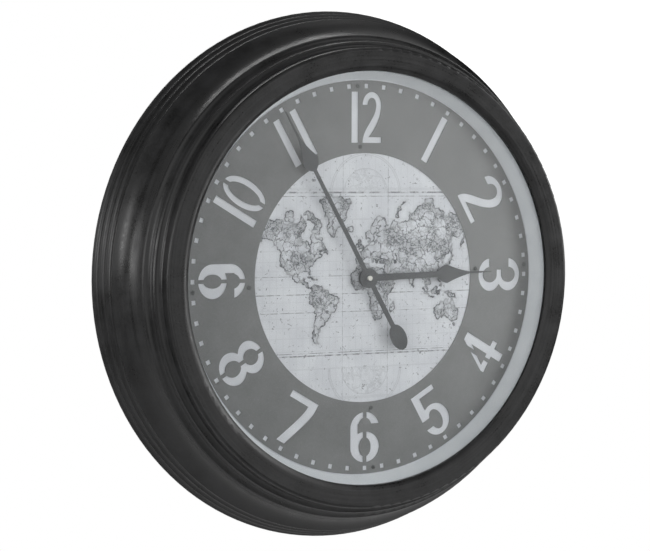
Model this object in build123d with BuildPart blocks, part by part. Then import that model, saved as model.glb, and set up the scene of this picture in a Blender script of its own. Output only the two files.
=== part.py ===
from build123d import *
import os
from math import cos, hypot, radians, sin

# Round wall clock with a stencil dial over a printed map, in millimetres.
# The origin is the centre of the back rim, on the wall. +X is right seen from the front, +Z is up and
# the dial faces -Y. A height is a distance from the wall.

# Frame moulding, from the glass opening outwards and from the bezel back to the wall
opening_radius = 229.2
roll_width = 8.3
roll_rise = 3.1
roll_bulge = 0.8
face_width = 13.8
face_rise = 1.3
corner_width = 3.4
corner_drop = 3.1
corner_bulge = 0.95
riser_draft = 0.2
riser_drop = 8.5
upper_flare_width = 6.6
upper_flare_drop = 6.2
upper_step_drop = 2.8
lower_flare_width = 6.5
lower_flare_drop = 9.0
lower_step_drop = 2.0
step_width = 1.0
flare_hollow = 2.1
cove_width = 19.6
cove_drop = 36.0
cove_hollow = 5.0
reed_count = 3
reed_width = 3.4
reed_drop = 9.2
reed_hollow = 2.0
crest_round = 0.9
rim_width = 0.2
rim_drop = 1.5
rim_land = 5.0
case_wall = 3.0
lip_thickness = 4.0
lip_width = 7.3

# Screw bosses inside the frame
boss_radius = 5.0
boss_count = 8
boss_offset = 10.8
boss_start_angle = 22.5
boss_rib = 2.5
boss_rib_setback = 3.0
pilot_radius = 1.5
pilot_depth = 12.0

# Glass, its gasket and the sloping reflector ring
gasket_thickness = 0.8
gasket_margin = 0.6
glass_thickness = 3.0
glass_overlap = 4.3
reflector_depth = 16.2
reflector_wall = 2.2
reflector_lean = 8.2
reflector_mouth_gap = 1.3

# Dial
board_thickness = 4.0
board_margin = 2.0
sheet_thickness = 0.3
sheet_margin = 0.8
ring_thickness = 0.8
ring_gap = 1.3
ring_inner_margin = 11.25
minute_count = 60
hour_step = 30.0
quarter_turn = 90.0
half_turn = 180.0
minute_square = 5.0
minute_inset = 6.5
numeral_gap = 6.45
numeral_height = 56.5
numeral_width = 37.4
narrow_width = 24.0
zero_width = 30.0
bar_width = 8.5
stem = 9.9
hair = 6.4
slim = 6.6
bridge = 4.0
twelve_space = 5.7
ten_space = 3.2
twin_bar_space = 14.6
two_hook = 14.4
two_bend = 13.0
two_heel = 17.0
two_throat = 16.0
two_run = 9.0
two_foot = 1.2
three_bar = 13.0
three_open = 13.0
four_stem_place = 6.9
four_bar_drop = 7.5
four_bar_height = 7.4
four_bar_reach = 12.7
four_toe = 2.4
four_corner = 6.5
four_shoulder = 12.7
five_width = 35.2
five_rise = 4.3
five_mouth = 13.0
five_open = 14.9
five_bowl_height = 37.0
six_bowl_height = 34.4
six_stem = 11.2
six_arch_height = 36.5
six_open = 14.9
seven_bar = 7.8
seven_foot = 10.0
seven_foot_width = 11.4
seven_leg = 11.0
seven_bend = 11.0
seven_run_x = 6.7
seven_run_y = 16.5
eight_upper_height = 30.4

# Screws
ring_screw_inset = 7.0
ring_screw_lag = 3.0
ring_screw_head_radius = 2.3
ring_screw_head = 1.2
ring_screw_radius = 1.1
ring_screw_bite = 3.0
screw_head_radius = 3.6
screw_head = 2.0
screw_slack = 0.4
screw_length = 14.0

# Hands and what carries them
hour_hand_angle = 88.5
minute_hand_angle = 330.0
hand_thickness = 0.8
hand_hub_radius = 11.0
hub_collar_radius = 5.2
hub_collar = 0.5
hand_boss_radius = 4.2
hand_boss = 0.8
hour_tip_gap = 13.9
hour_spade_length = 60.1
hour_needle_length = 30.6
hour_shaft_root = 7.8
hour_shaft_end = 6.4
minute_tip_gap = 1.5
minute_spade_length = 61.7
minute_needle_length = 34.7
minute_shaft_root = 5.6
minute_shaft_end = 4.2
spade_width = 21.0
spade_shoulder = 12.2
spade_bulge = 1.6
spade_hollow = 0.9
needle_width = 2.6
tip_width = 1.0
tail_neck = 62.0
tail_end = 93.0
tail_width = 20.0
nut_radius = 2.75
nut_height = 2.7
nut_dome = 0.6
minute_thread_radius = 1.4
minute_thread_length = 2.3
bush_radius = 3.95
bush_wall = 1.35
bush_proud = 0.6
bush_slack = 0.25
bush_nut_flats = 12.0
bush_nut_height = 2.5
dial_washer_radius = 9.0
dial_washer_thickness = 0.8
rubber_washer_radius = 12.0
rubber_washer_thickness = 1.0
pipe_wall = 0.65
hand_gap = 0.5

# Quartz movement
movement_width = 56.0
movement_height = 56.0
housing_corner = 2.5
axis_below_top = 18.0
floor_thickness = 1.5
cover_thickness = 1.5
side_wall = 1.5
wheel_thickness = 1.0
level_gap = 0.85
plate_thickness = 0.8
plate_margin = 0.3
plate_post_radius = 1.3
pinion_overhang = 0.3
running_clearance = 0.05
arbor_radius = 0.8
pivot_radius = 0.45
pivot_depth = 0.9
end_shake = 0.1

# Teeth, as straight flanks with generous backlash
tooth_addendum = 0.9
tooth_dedendum = 1.25
tooth_root_share = 0.28
tooth_tip_share = 0.10
centre_teeth = 60
third_pinion_teeth = 8
third_teeth = 64
seconds_pinion_teeth = 8
seconds_teeth = 50
step_pinion_teeth = 10
step_teeth = 60
rotor_pinion_teeth = 10
cannon_teeth = 12
minute_wheel_teeth = 36
minute_pinion_teeth = 10
hour_wheel_teeth = 40
centre_module = 0.40
seconds_module = 0.36
step_module = 0.30
motion_module = 0.60
third_direction = 10.0
step_direction = -60.0
rotor_direction = -10.0
minute_wheel_direction = 170.0

# Stepping motor, circuit board and cell
magnet_radius = 3.0
magnet_height = 2.4
stator_gap = 0.45
stator_thickness = 1.2
stator_head = 11.0
stator_arm = 2.4
stator_core = 2.0
stator_reach = 33.0
coil_drop = 5.2
coil_length = 22.0
coil_setback = 5.5
bobbin_radius = 2.75
bobbin_flange = 1.0
bobbin_wall = 0.4
winding_radius = 2.5
circuit_width = 19.0
circuit_height = 25.0
circuit_thickness = 0.8
circuit_margin = 0.6
arbor_hole_slack = 0.6
crystal_radius = 1.3
crystal_length = 7.0
crystal_inset = 2.0
cell_radius = 7.25
cell_length = 50.5
cell_nub_radius = 2.75
cell_nub = 1.3
cell_slack = 0.5
cell_floor_gap = 0.2
contact_thickness = 0.5
contact_width = 9.0
contact_pad_radius = 2.2

# Setting knob
knob_radius = 6.5
knob_thickness = 3.0
knob_gap = 0.6
knob_flutes = 18
knob_flute_radius = 0.7
knob_arbor_radius = 1.2

# Hanger at the top of the back
hanger_width = 132.0
hanger_height = 22.0
hanger_thickness = 1.5
hanger_inset = 4.0
hanger_corner = 6.0
hanger_drop = 28.0
hanger_span = 112.0
keyhole_radius = 5.0
keyhole_slot = 5.0
keyhole_travel = 10.0

# Radii and heights of the moulding's edges
roll_r = opening_radius + roll_width
bezel_r = roll_r + face_width
riser_r = bezel_r + corner_width
upper_flare_r = riser_r + riser_draft
upper_crest_r = upper_flare_r + upper_flare_width
lower_flare_r = upper_crest_r + step_width
lower_crest_r = lower_flare_r + lower_flare_width
cove_r = lower_crest_r + step_width
reed_r = cove_r + cove_width
rim_r = reed_r + reed_count * reed_width
case_radius = rim_r + rim_width
reed_top = rim_drop + reed_count * reed_drop
cove_top = reed_top + cove_drop
lower_crest = cove_top + lower_step_drop
lower_flare = lower_crest + lower_flare_drop
upper_crest = lower_flare + upper_step_drop
upper_flare = upper_crest + upper_flare_drop
riser_top = upper_flare + riser_drop
bezel_height = riser_top + corner_drop
face_inner = bezel_height - face_rise
opening_height = face_inner - roll_rise
lip_back = opening_height - lip_thickness

# Radii of the dial, from the opening inwards
boss_circle_radius = opening_radius + boss_offset
reflector_foot_radius = opening_radius - reflector_lean
ring_outer_radius = reflector_foot_radius - ring_gap
minute_circle_radius = ring_outer_radius - minute_inset
numeral_circle_radius = minute_circle_radius - numeral_gap - numeral_height / 2
ring_inner_radius = numeral_circle_radius - numeral_height / 2 - ring_inner_margin
ring_screw_circles = (minute_circle_radius, ring_inner_radius + ring_screw_inset)
hour_tip = numeral_circle_radius - hour_tip_gap
minute_tip = minute_circle_radius - minute_tip_gap
hanger_rise = case_radius - hanger_drop

# Heights of the stack behind the lip
glass_front = lip_back - gasket_thickness
glass_back = glass_front - glass_thickness
sheet_front = glass_back - reflector_depth
board_front = sheet_front - sheet_thickness
board_back = board_front - board_thickness
ring_front = sheet_front + ring_thickness
base_front = board_back - rubber_washer_thickness
floor_inner = base_front - floor_thickness
bush_nut_front = sheet_front + dial_washer_thickness + bush_nut_height
bush_front = bush_nut_front + bush_proud
hour_boss_back = bush_front + hand_gap
hour_hand_back = hour_boss_back + hand_boss
hour_hand_front = hour_hand_back + hand_thickness
pipe_front = hour_hand_front + hub_collar
minute_boss_back = pipe_front + hand_gap
minute_hand_back = minute_boss_back + hand_boss
minute_hand_front = minute_hand_back + hand_thickness
nut_back = minute_hand_front + hub_collar
hanger_front = hanger_inset + hanger_thickness

# Rear faces of the wheels, one level behind the other
level_step = level_gap + wheel_thickness
hour_level = floor_inner - level_step
motion_level = hour_level - level_step
centre_level = motion_level - level_step
plate_back = centre_level - level_gap - plate_thickness
third_level = plate_back - level_step
seconds_level = third_level - level_step
step_level = seconds_level - level_step
cover_inner = step_level - level_gap
cover_back = cover_inner - cover_thickness

# Edges of the movement's housing
half_width = movement_width / 2
housing_top = axis_below_top
housing_bottom = axis_below_top - movement_height
bay_height = 2 * cell_radius + 2 * cell_slack
bay_bottom = housing_bottom + side_wall
bay_top = bay_bottom + bay_height
train_bottom = bay_top + side_wall
train_top = housing_top - side_wall
train_half = half_width - side_wall

# Shafts at the centre, from the inside out
pipe_radius = bush_radius - bush_wall
pipe_bore = pipe_radius - pipe_wall
minute_shaft_radius = pipe_bore - 2 * running_clearance
bush_bore = pipe_radius + 2 * running_clearance


def face_plane(height, x=0.0, z=0.0):
    """Plane parallel to the dial at this height, X to the right and Y up."""
    return Plane(origin=(x, -height, z), x_dir=(1, 0, 0), z_dir=(0, -1, 0))


def hand_plane(height, clock_angle):
    """Plane parallel to the dial whose Y points at a clock angle in degrees."""
    turn = radians(clock_angle)
    return Plane(origin=(0, -height, 0), x_dir=(cos(turn), 0, -sin(turn)), z_dir=(0, -1, 0))


def around(radius, clock_angle):
    """Point of the dial at a radius and a clock angle."""
    return (radius * sin(radians(clock_angle)), radius * cos(radians(clock_angle)))


def chord_inset(start, end, depth):
    """Both ends of a stretch of the moulding, moved square to it into the hollow behind."""
    run = end[0] - start[0]
    drop = start[1] - end[1]
    length = hypot(run, drop)
    back = depth * drop / length
    down = depth * run / length
    return (start[0] - back, start[1] - down), (end[0] - back, end[1] - down)


def moulding_inside(depth):
    """Draw the moulding's line at this depth under its skin, from the wall to the bezel."""
    rim = (case_radius - rim_land * depth / case_wall, 0)
    reeds = chord_inset((reed_r, reed_top), (rim_r, rim_drop), depth + reed_hollow)
    cove = chord_inset((cove_r, cove_top), (reed_r, reed_top), depth)
    lower = chord_inset((lower_flare_r, lower_flare), (lower_crest_r, lower_crest), depth + flare_hollow)
    upper = chord_inset((upper_flare_r, upper_flare), (upper_crest_r, upper_crest), depth + flare_hollow)
    corner = (riser_r - depth, bezel_height - depth)
    face = (roll_r, face_inner - depth)
    Line(rim, reeds[0])
    SagittaArc(reeds[0], cove[0], cove_hollow)
    Polyline(cove[0], lower[1], lower[0], upper[1], upper[0], corner, face)
    return rim, face


def rod(rear, front, radius, x=0.0, z=0.0, mode=Mode.ADD):
    """Round bar square to the dial between two heights."""
    with Locations(face_plane(rear, x, z)):
        Cylinder(radius, front - rear, align=(Align.CENTER, Align.CENTER, Align.MIN), mode=mode)


def gear_outline(teeth, module, phase):
    """Corners of straight-flanked teeth; the phase is the direction of one tooth in degrees."""
    pitch_radius = module * teeth / 2
    tip = pitch_radius + tooth_addendum * module
    root = pitch_radius - tooth_dedendum * module
    up = ((root, -tooth_root_share), (tip, -tooth_tip_share))
    down = ((tip, tooth_tip_share), (root, tooth_root_share))
    corners = [(radius, tooth + share) for tooth in range(teeth) for radius, share in up + down]
    turns = [(radius, radians(phase + pitches * 360 / teeth)) for radius, pitches in corners]
    return [(radius * cos(turn), radius * sin(turn)) for radius, turn in turns]


def gear(rear, front, teeth, module, phase, place=(0.0, 0.0)):
    """Toothed wheel or pinion between two heights."""
    with BuildSketch(face_plane(rear, *place)) as outline:
        Polygon(*gear_outline(teeth, module, phase), align=None)
    extrude(outline.sketch, amount=front - rear)


def meshed_phase(teeth, phase, other_teeth, direction):
    """Direction of a tooth of the other gear that puts its gaps on this gear's teeth."""
    ahead = (direction - phase) * teeth / 360
    return direction + half_turn - (0.5 - ahead) * 360 / other_teeth


def beside(place, distance, direction):
    """Centre of a neighbouring arbor."""
    return (place[0] + distance * cos(radians(direction)), place[1] + distance * sin(radians(direction)))


def pivots(place, radius):
    """Arbor between floor and cover, with a thin pivot at each end."""
    rod(cover_inner + end_shake, floor_inner - end_shake, radius, *place)
    rod(cover_inner - pivot_depth, floor_inner + pivot_depth, pivot_radius, *place)


# Places and phases of the train
centre_place = (0.0, 0.0)
third_distance = centre_module * (centre_teeth + third_pinion_teeth) / 2
third_module = 2 * third_distance / (third_teeth + seconds_pinion_teeth)
step_distance = seconds_module * (seconds_teeth + step_pinion_teeth) / 2
rotor_distance = step_module * (step_teeth + rotor_pinion_teeth) / 2
motion_distance = motion_module * (cannon_teeth + minute_wheel_teeth) / 2
hour_module = 2 * motion_distance / (minute_pinion_teeth + hour_wheel_teeth)
third_place = beside(centre_place, third_distance, third_direction)
step_place = beside(centre_place, step_distance, step_direction)
rotor_place = beside(step_place, rotor_distance, rotor_direction)
minute_place = beside(centre_place, motion_distance, minute_wheel_direction)
third_pinion_phase = meshed_phase(centre_teeth, 0, third_pinion_teeth, third_direction)
seconds_pinion_phase = meshed_phase(third_teeth, 0, seconds_pinion_teeth, third_direction + half_turn)
step_pinion_phase = meshed_phase(seconds_teeth, 0, step_pinion_teeth, step_direction)
rotor_pinion_phase = meshed_phase(step_teeth, 0, rotor_pinion_teeth, rotor_direction)
minute_wheel_phase = meshed_phase(cannon_teeth, 0, minute_wheel_teeth, minute_wheel_direction)
hour_wheel_phase = meshed_phase(minute_pinion_teeth, 0, hour_wheel_teeth, minute_wheel_direction + half_turn)

crests = [(upper_crest_r, upper_crest), (lower_crest_r, lower_crest)]
crests += [(reed_r + k * reed_width, reed_top - k * reed_drop) for k in range(reed_count + 1)]


def is_crest(r, height):
    """True for a corner of the moulding that stands proud between two hollows."""
    return any(hypot(r - crest[0], height - crest[1]) < crest_round for crest in crests)


os.makedirs("parts", exist_ok=True)
profile_plane = Plane(origin=(0, 0, 0), x_dir=(1, 0, 0), z_dir=(0, 0, -1))
boss_places = PolarLocations(boss_circle_radius, boss_count, start_angle=boss_start_angle)
hanger_places = ((-hanger_span / 2, hanger_rise), (hanger_span / 2, hanger_rise))

# One moulded frame. Bosses and gussets are cut to the middle of its wall,
# then the thin wall is turned round them.
with BuildPart() as case_frame:
    with BuildSketch(face_plane(board_front)):
        with boss_places:
            Circle(boss_radius)
    extrude(amount=bezel_height - board_front)
    with BuildSketch(face_plane(board_front + boss_rib_setback)):
        with PolarLocations((boss_circle_radius + case_radius) / 2, boss_count, start_angle=boss_start_angle):
            Rectangle(case_radius - boss_circle_radius, boss_rib)
    extrude(amount=bezel_height - board_front - boss_rib_setback)
    with BuildSketch(face_plane(hanger_front)):
        with Locations(*hanger_places):
            Circle(boss_radius)
    extrude(amount=bezel_height - hanger_front)
    with BuildSketch(profile_plane):
        with BuildLine():
            middle_rim, middle_face = moulding_inside(case_wall / 2)
            Polyline(middle_face, (0, middle_face[1]), (0, 0), middle_rim)
        make_face()
    revolve(axis=Axis.Y, mode=Mode.INTERSECT)
    with BuildSketch(profile_plane) as moulding:
        with BuildLine():
            SagittaArc((opening_radius, opening_height), (roll_r, face_inner), roll_bulge)
            Line((roll_r, face_inner), (bezel_r, bezel_height))
            SagittaArc((bezel_r, bezel_height), (riser_r, riser_top), corner_bulge)
            Line((riser_r, riser_top), (upper_flare_r, upper_flare))
            SagittaArc((upper_flare_r, upper_flare), (upper_crest_r, upper_crest), -flare_hollow)
            Line((upper_crest_r, upper_crest), (lower_flare_r, lower_flare))
            SagittaArc((lower_flare_r, lower_flare), (lower_crest_r, lower_crest), -flare_hollow)
            Line((lower_crest_r, lower_crest), (cove_r, cove_top))
            SagittaArc((cove_r, cove_top), (reed_r, reed_top), -cove_hollow)
            for k in range(reed_count):
                reed_start = (reed_r + k * reed_width, reed_top - k * reed_drop)
                reed_end = (reed_start[0] + reed_width, reed_start[1] - reed_drop)
                SagittaArc(reed_start, reed_end, -reed_hollow)
            Line((rim_r, rim_drop), (case_radius, 0))
            inner_rim, inner_face = moulding_inside(case_wall)
            Line((case_radius, 0), inner_rim)
            Polyline(
                inner_face,
                (opening_radius + lip_width, lip_back),
                (opening_radius, lip_back),
                (opening_radius, opening_height),
            )
        make_face()
        fillet([v for v in moulding.vertices() if is_crest(v.X, v.Y)], radius=crest_round)
    revolve(axis=Axis.Y)
    with BuildSketch(face_plane(board_front)):
        with boss_places:
            Circle(pilot_radius)
    extrude(amount=pilot_depth, mode=Mode.SUBTRACT)
    with BuildSketch(face_plane(hanger_front)):
        with Locations(*hanger_places):
            Circle(pilot_radius)
    extrude(amount=pilot_depth, mode=Mode.SUBTRACT)
case_frame.part.label = "case_frame"
export_step(case_frame.part, "parts/case_frame.step")

# Soft ring between the lip and the glass
glass_radius = opening_radius + glass_overlap
with BuildPart() as glass_gasket:
    with BuildSketch(face_plane(glass_front)):
        Circle(glass_radius)
        Circle(opening_radius + gasket_margin, mode=Mode.SUBTRACT)
    extrude(amount=gasket_thickness)
glass_gasket.part.label = "glass_gasket"
export_step(glass_gasket.part, "parts/glass_gasket.step")

# Flat glass
with BuildPart() as front_glass:
    with BuildSketch(face_plane(glass_back)):
        Circle(glass_radius)
    extrude(amount=glass_thickness)
front_glass.part.label = "front_glass"
export_step(front_glass.part, "parts/front_glass.step")

# Sloping ring that stands on the dial and presses the glass against its gasket
mouth_radius = opening_radius + reflector_mouth_gap
with BuildPart() as reflector_ring:
    with BuildSketch(profile_plane):
        with BuildLine():
            Polyline(
                (reflector_foot_radius, sheet_front),
                (mouth_radius, glass_back),
                (mouth_radius + reflector_wall, glass_back),
                (reflector_foot_radius + reflector_wall, sheet_front),
                close=True,
            )
        make_face()
    revolve(axis=Axis.Y)
reflector_ring.part.label = "reflector_ring"
export_step(reflector_ring.part, "parts/reflector_ring.step")

# Fibreboard dial, held to the bosses from behind
ring_screw_places = [
    around(radius, quarter_turn * quarter - ring_screw_lag)
    for radius in ring_screw_circles
    for quarter in range(4)
]
with BuildPart() as dial_board:
    with BuildSketch(face_plane(board_back)):
        Circle(boss_circle_radius + boss_radius + board_margin)
        Circle(bush_radius + bush_slack, mode=Mode.SUBTRACT)
        with boss_places:
            Circle(pilot_radius + screw_slack, mode=Mode.SUBTRACT)
    extrude(amount=board_thickness)
    with BuildSketch(face_plane(board_front)):
        with Locations(*ring_screw_places):
            Circle(ring_screw_radius)
    extrude(amount=-ring_screw_bite, mode=Mode.SUBTRACT)
dial_board.part.label = "dial_board"
export_step(dial_board.part, "parts/dial_board.step")

# Printed sheet glued to the board
with BuildPart() as map_sheet:
    with BuildSketch(face_plane(board_front)):
        Circle(reflector_foot_radius + reflector_wall + sheet_margin)
        Circle(bush_radius + bush_slack, mode=Mode.SUBTRACT)
        with Locations(*ring_screw_places):
            Circle(ring_screw_radius, mode=Mode.SUBTRACT)
    extrude(amount=sheet_thickness)
map_sheet.part.label = "map_sheet"
export_step(map_sheet.part, "parts/map_sheet.step")

# Stencil numerals with thick sides and thin tops. Closed counters are tied to the sheet by bridges.
half_height = numeral_height / 2
half_width = numeral_width / 2


def figure_two(reach, side):
    """Round hook, slope that bends down to a heel, and a flat foot."""
    level = half_height - two_hook
    inner = reach - side
    foot_top = hair - half_height
    crotch = side * two_foot - reach
    with BuildSketch() as digit:
        with BuildLine():
            EllipticalCenterArc((0, level), reach, two_hook, arc_size=half_turn)
            EllipticalCenterArc((0, level), inner, two_hook - hair, arc_size=half_turn)
            Line((-reach, level), (-inner, level))
            Bezier(
                (reach, level), (reach, level - two_bend),
                (crotch + two_run, foot_top + two_run), (crotch, foot_top),
            )
            Polyline((crotch, foot_top), (reach, foot_top), (reach, -half_height), (-reach, -half_height))
            Bezier(
                (-reach, -half_height), (-reach, two_heel - half_height),
                (inner, level - two_throat), (inner, level),
            )
        make_face()
    return digit.sketch


with BuildSketch() as bar:
    Rectangle(bar_width, numeral_height)

with BuildSketch() as zero:
    Ellipse(zero_width / 2, half_height)
    Ellipse(zero_width / 2 - slim, half_height - slim, mode=Mode.SUBTRACT)
    Rectangle(bridge, numeral_height, mode=Mode.SUBTRACT)

three_rise = (numeral_height + hair) / 4
three_centre = half_height - three_rise
with BuildSketch() as three:
    with Locations((0, three_centre), (0, -three_centre)):
        Ellipse(half_width, three_rise)
    with Locations((0, three_centre), (0, -three_centre)):
        Ellipse(half_width - stem, three_rise - hair, mode=Mode.SUBTRACT)
    Rectangle(half_width, 2 * three_open, align=(Align.MAX, Align.CENTER), mode=Mode.SUBTRACT)
    Rectangle(half_width - three_bar, hair, align=(Align.MAX, Align.CENTER))

four_left = four_stem_place - stem / 2
four_bar_top = -four_bar_drop
with BuildSketch() as four:
    Polygon(
        (four_left, half_height),
        (-half_width, four_bar_top - four_toe),
        (-half_width, four_bar_top - four_bar_height),
        (four_stem_place + four_bar_reach, four_bar_top - four_bar_height),
        (four_stem_place + four_bar_reach, four_bar_top),
        (four_left, four_bar_top),
        (four_corner - half_width, four_bar_top),
        (four_left, half_height - four_shoulder),
        align=None,
    )
    with Locations((four_stem_place, 0)):
        Rectangle(stem, numeral_height)
    with Locations((four_left - bridge, 0)):
        Rectangle(bridge, numeral_height, align=(Align.MAX, Align.CENTER), mode=Mode.SUBTRACT)

five_level = five_bowl_height / 2 - half_height
five_reach = five_width / 2
with BuildSketch() as five:
    with Locations((0, five_level)):
        Ellipse(five_reach, five_bowl_height / 2)
        Ellipse(five_reach - stem, five_bowl_height / 2 - hair, mode=Mode.SUBTRACT)
    with Locations((-five_reach, -five_open)):
        Rectangle(five_mouth, five_open - five_rise, align=(Align.MIN, Align.MIN), mode=Mode.SUBTRACT)
    with Locations((-five_reach, half_height)):
        Rectangle(stem, half_height + five_rise, align=(Align.MIN, Align.MAX))
        Rectangle(five_width - hair / 2, hair, align=(Align.MIN, Align.MAX))

six_bowl_level = six_bowl_height / 2 - half_height
six_arch_level = half_height - six_arch_height / 2
with BuildSketch() as six:
    with Locations((0, six_arch_level)):
        Ellipse(half_width, six_arch_height / 2)
        Ellipse(half_width - stem, six_arch_height / 2 - hair, mode=Mode.SUBTRACT)
    with Locations((stem - half_width, six_open)):
        Rectangle(numeral_width, numeral_height, align=(Align.MIN, Align.MAX), mode=Mode.SUBTRACT)
    with Locations((-half_width, (six_arch_level + six_bowl_level) / 2)):
        Rectangle(stem, six_arch_level - six_bowl_level, align=(Align.MIN, Align.CENTER))
    with Locations((0, six_bowl_level)):
        Ellipse(half_width, six_bowl_height / 2)
        Ellipse(half_width - six_stem, six_bowl_height / 2 - hair, mode=Mode.SUBTRACT)
    Rectangle(bridge, numeral_height, mode=Mode.SUBTRACT)

seven_bar_back = half_height - seven_bar
seven_toe = seven_foot_width - seven_foot
with BuildSketch() as seven:
    with BuildLine():
        Polyline(
            (half_width - seven_leg, seven_bar_back),
            (-half_width, seven_bar_back),
            (-half_width, half_height),
            (half_width, half_height),
            (half_width, seven_bar_back),
        )
        for foot, knee in ((seven_toe, half_width), (-seven_foot, half_width - seven_leg)):
            Bezier(
                (knee, seven_bar_back),
                (knee, seven_bar_back - seven_bend),
                (foot + seven_run_x, seven_run_y - half_height),
                (foot, -half_height),
            )
        Line((-seven_foot, -half_height), (seven_toe, -half_height))
    make_face()

eight_lower_height = numeral_height + hair - eight_upper_height
eight_upper_level = half_height - eight_upper_height / 2
eight_lower_level = eight_lower_height / 2 - half_height
with BuildSketch() as eight:
    for level, height in ((eight_upper_level, eight_upper_height), (eight_lower_level, eight_lower_height)):
        with Locations((0, level)):
            Ellipse(half_width, height / 2)
    for level, height in ((eight_upper_level, eight_upper_height), (eight_lower_level, eight_lower_height)):
        with Locations((0, level)):
            Ellipse(half_width - stem, height / 2 - hair, mode=Mode.SUBTRACT)
    Rectangle(bridge, numeral_height, mode=Mode.SUBTRACT)

nine = six.sketch.rotate(Axis.Z, half_turn)
twin_shift = (bar_width + twin_bar_space) / 2


def pair(digit, width, space):
    """A bar and a narrow digit side by side, centred together."""
    shift = (bar_width + space + width) / 2
    return (bar.sketch, bar_width / 2 - shift), (digit, shift - width / 2)


upright_numerals = {
    9: ((nine, 0),),
    10: pair(zero.sketch, zero_width, ten_space),
    11: ((bar.sketch, -twin_shift), (bar.sketch, twin_shift)),
    12: pair(figure_two(narrow_width / 2, slim), narrow_width, twelve_space),
    1: ((bar.sketch, 0),),
    2: ((figure_two(half_width, stem), 0),),
    3: ((three.sketch, 0),),
}
inverted_numerals = {
    4: ((four.sketch, 0),),
    5: ((five.sketch, 0),),
    6: ((six.sketch, 0),),
    7: ((seven.sketch, 0),),
    8: ((eight.sketch, 0),),
}

# Grey sheet ring with every numeral and minute mark cut through
with BuildPart() as chapter_ring:
    with BuildSketch(face_plane(sheet_front)):
        Circle(ring_outer_radius)
        Circle(ring_inner_radius, mode=Mode.SUBTRACT)
        with PolarLocations(minute_circle_radius, minute_count):
            Rectangle(minute_square, minute_square, mode=Mode.SUBTRACT)
        with Locations(*ring_screw_places):
            Circle(ring_screw_radius, mode=Mode.SUBTRACT)
        for numerals, turn in ((upright_numerals, 0), (inverted_numerals, half_turn)):
            for hour, digits in numerals.items():
                centre = around(numeral_circle_radius, hour_step * hour)
                with Locations(Location((*centre, 0), (0, 0, turn - hour_step * hour))):
                    for digit, shift in digits:
                        with Locations((shift, 0)):
                            add(digit, mode=Mode.SUBTRACT)
    extrude(amount=ring_thickness)
chapter_ring.part.label = "chapter_ring"
export_step(chapter_ring.part, "parts/chapter_ring.step")

# Small dark screws that pin the ring to the board
with BuildPart() as ring_screws:
    with BuildSketch(face_plane(ring_front)):
        with Locations(*ring_screw_places):
            Circle(ring_screw_head_radius)
    extrude(amount=ring_screw_head)
    with BuildSketch(face_plane(board_front - ring_screw_bite)):
        with Locations(*ring_screw_places):
            Circle(ring_screw_radius)
    extrude(amount=ring_front - board_front + ring_screw_bite)
ring_screws.part.label = "ring_screws"
export_step(ring_screws.part, "parts/ring_screws.step")

# Screws from behind the board into the frame's bosses
with BuildPart() as board_screws:
    with BuildSketch(face_plane(board_back - screw_head)):
        with boss_places:
            Circle(screw_head_radius)
    extrude(amount=screw_head)
    with BuildSketch(face_plane(board_back)):
        with boss_places:
            Circle(pilot_radius)
    extrude(amount=screw_length)
board_screws.part.label = "board_screws"
export_step(board_screws.part, "parts/board_screws.step")

# Soft washer between the movement and the board
with BuildPart() as rubber_washer:
    with BuildSketch(face_plane(base_front)):
        Circle(rubber_washer_radius)
        Circle(bush_radius, mode=Mode.SUBTRACT)
    extrude(amount=rubber_washer_thickness)
rubber_washer.part.label = "rubber_washer"
export_step(rubber_washer.part, "parts/rubber_washer.step")

# Washer and thin hexagon nut that clamp the bush to the dial
with BuildPart() as dial_washer:
    with BuildSketch(face_plane(sheet_front)):
        Circle(dial_washer_radius)
        Circle(bush_radius, mode=Mode.SUBTRACT)
    extrude(amount=dial_washer_thickness)
dial_washer.part.label = "dial_washer"
export_step(dial_washer.part, "parts/dial_washer.step")

with BuildPart() as bush_nut:
    with BuildSketch(face_plane(sheet_front + dial_washer_thickness)):
        RegularPolygon(bush_nut_flats / 2, 6, major_radius=False)
        Circle(bush_radius, mode=Mode.SUBTRACT)
    extrude(amount=bush_nut_height)
bush_nut.part.label = "bush_nut"
export_step(bush_nut.part, "parts/bush_nut.step")


def spade_half(root, end, spade_length, needle_length, tip):
    """Right half of a spade hand: tapered shaft, round shoulder, hollow point and needle."""
    wide = tip - spade_length
    base = wide - spade_shoulder
    needle = tip - needle_length
    Line((0, 0), (root / 2, 0))
    Line((root / 2, 0), (end / 2, base))
    SagittaArc((end / 2, base), (spade_width / 2, wide), -spade_bulge)
    SagittaArc((spade_width / 2, wide), (needle_width / 2, needle), spade_hollow)
    Line((needle_width / 2, needle), (tip_width / 2, tip))
    Line((tip_width / 2, tip), (0, tip))


# Hour hand, stamped sheet on a boss that grips the hour pipe
with BuildPart() as hour_hand:
    with BuildSketch(hand_plane(hour_hand_back, hour_hand_angle)):
        with BuildLine():
            spade_half(hour_shaft_root, hour_shaft_end, hour_spade_length, hour_needle_length, hour_tip)
            mirror(about=Plane.YZ)
        make_face()
        Circle(hand_hub_radius)
    extrude(amount=hand_thickness)
    rod(hour_boss_back, hour_hand_back, hand_boss_radius)
    rod(hour_hand_front, pipe_front, hand_boss_radius)
    rod(hour_boss_back, pipe_front, pipe_radius, mode=Mode.SUBTRACT)
hour_hand.part.label = "hour_hand"
export_step(hour_hand.part, "parts/hour_hand.step")

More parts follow.
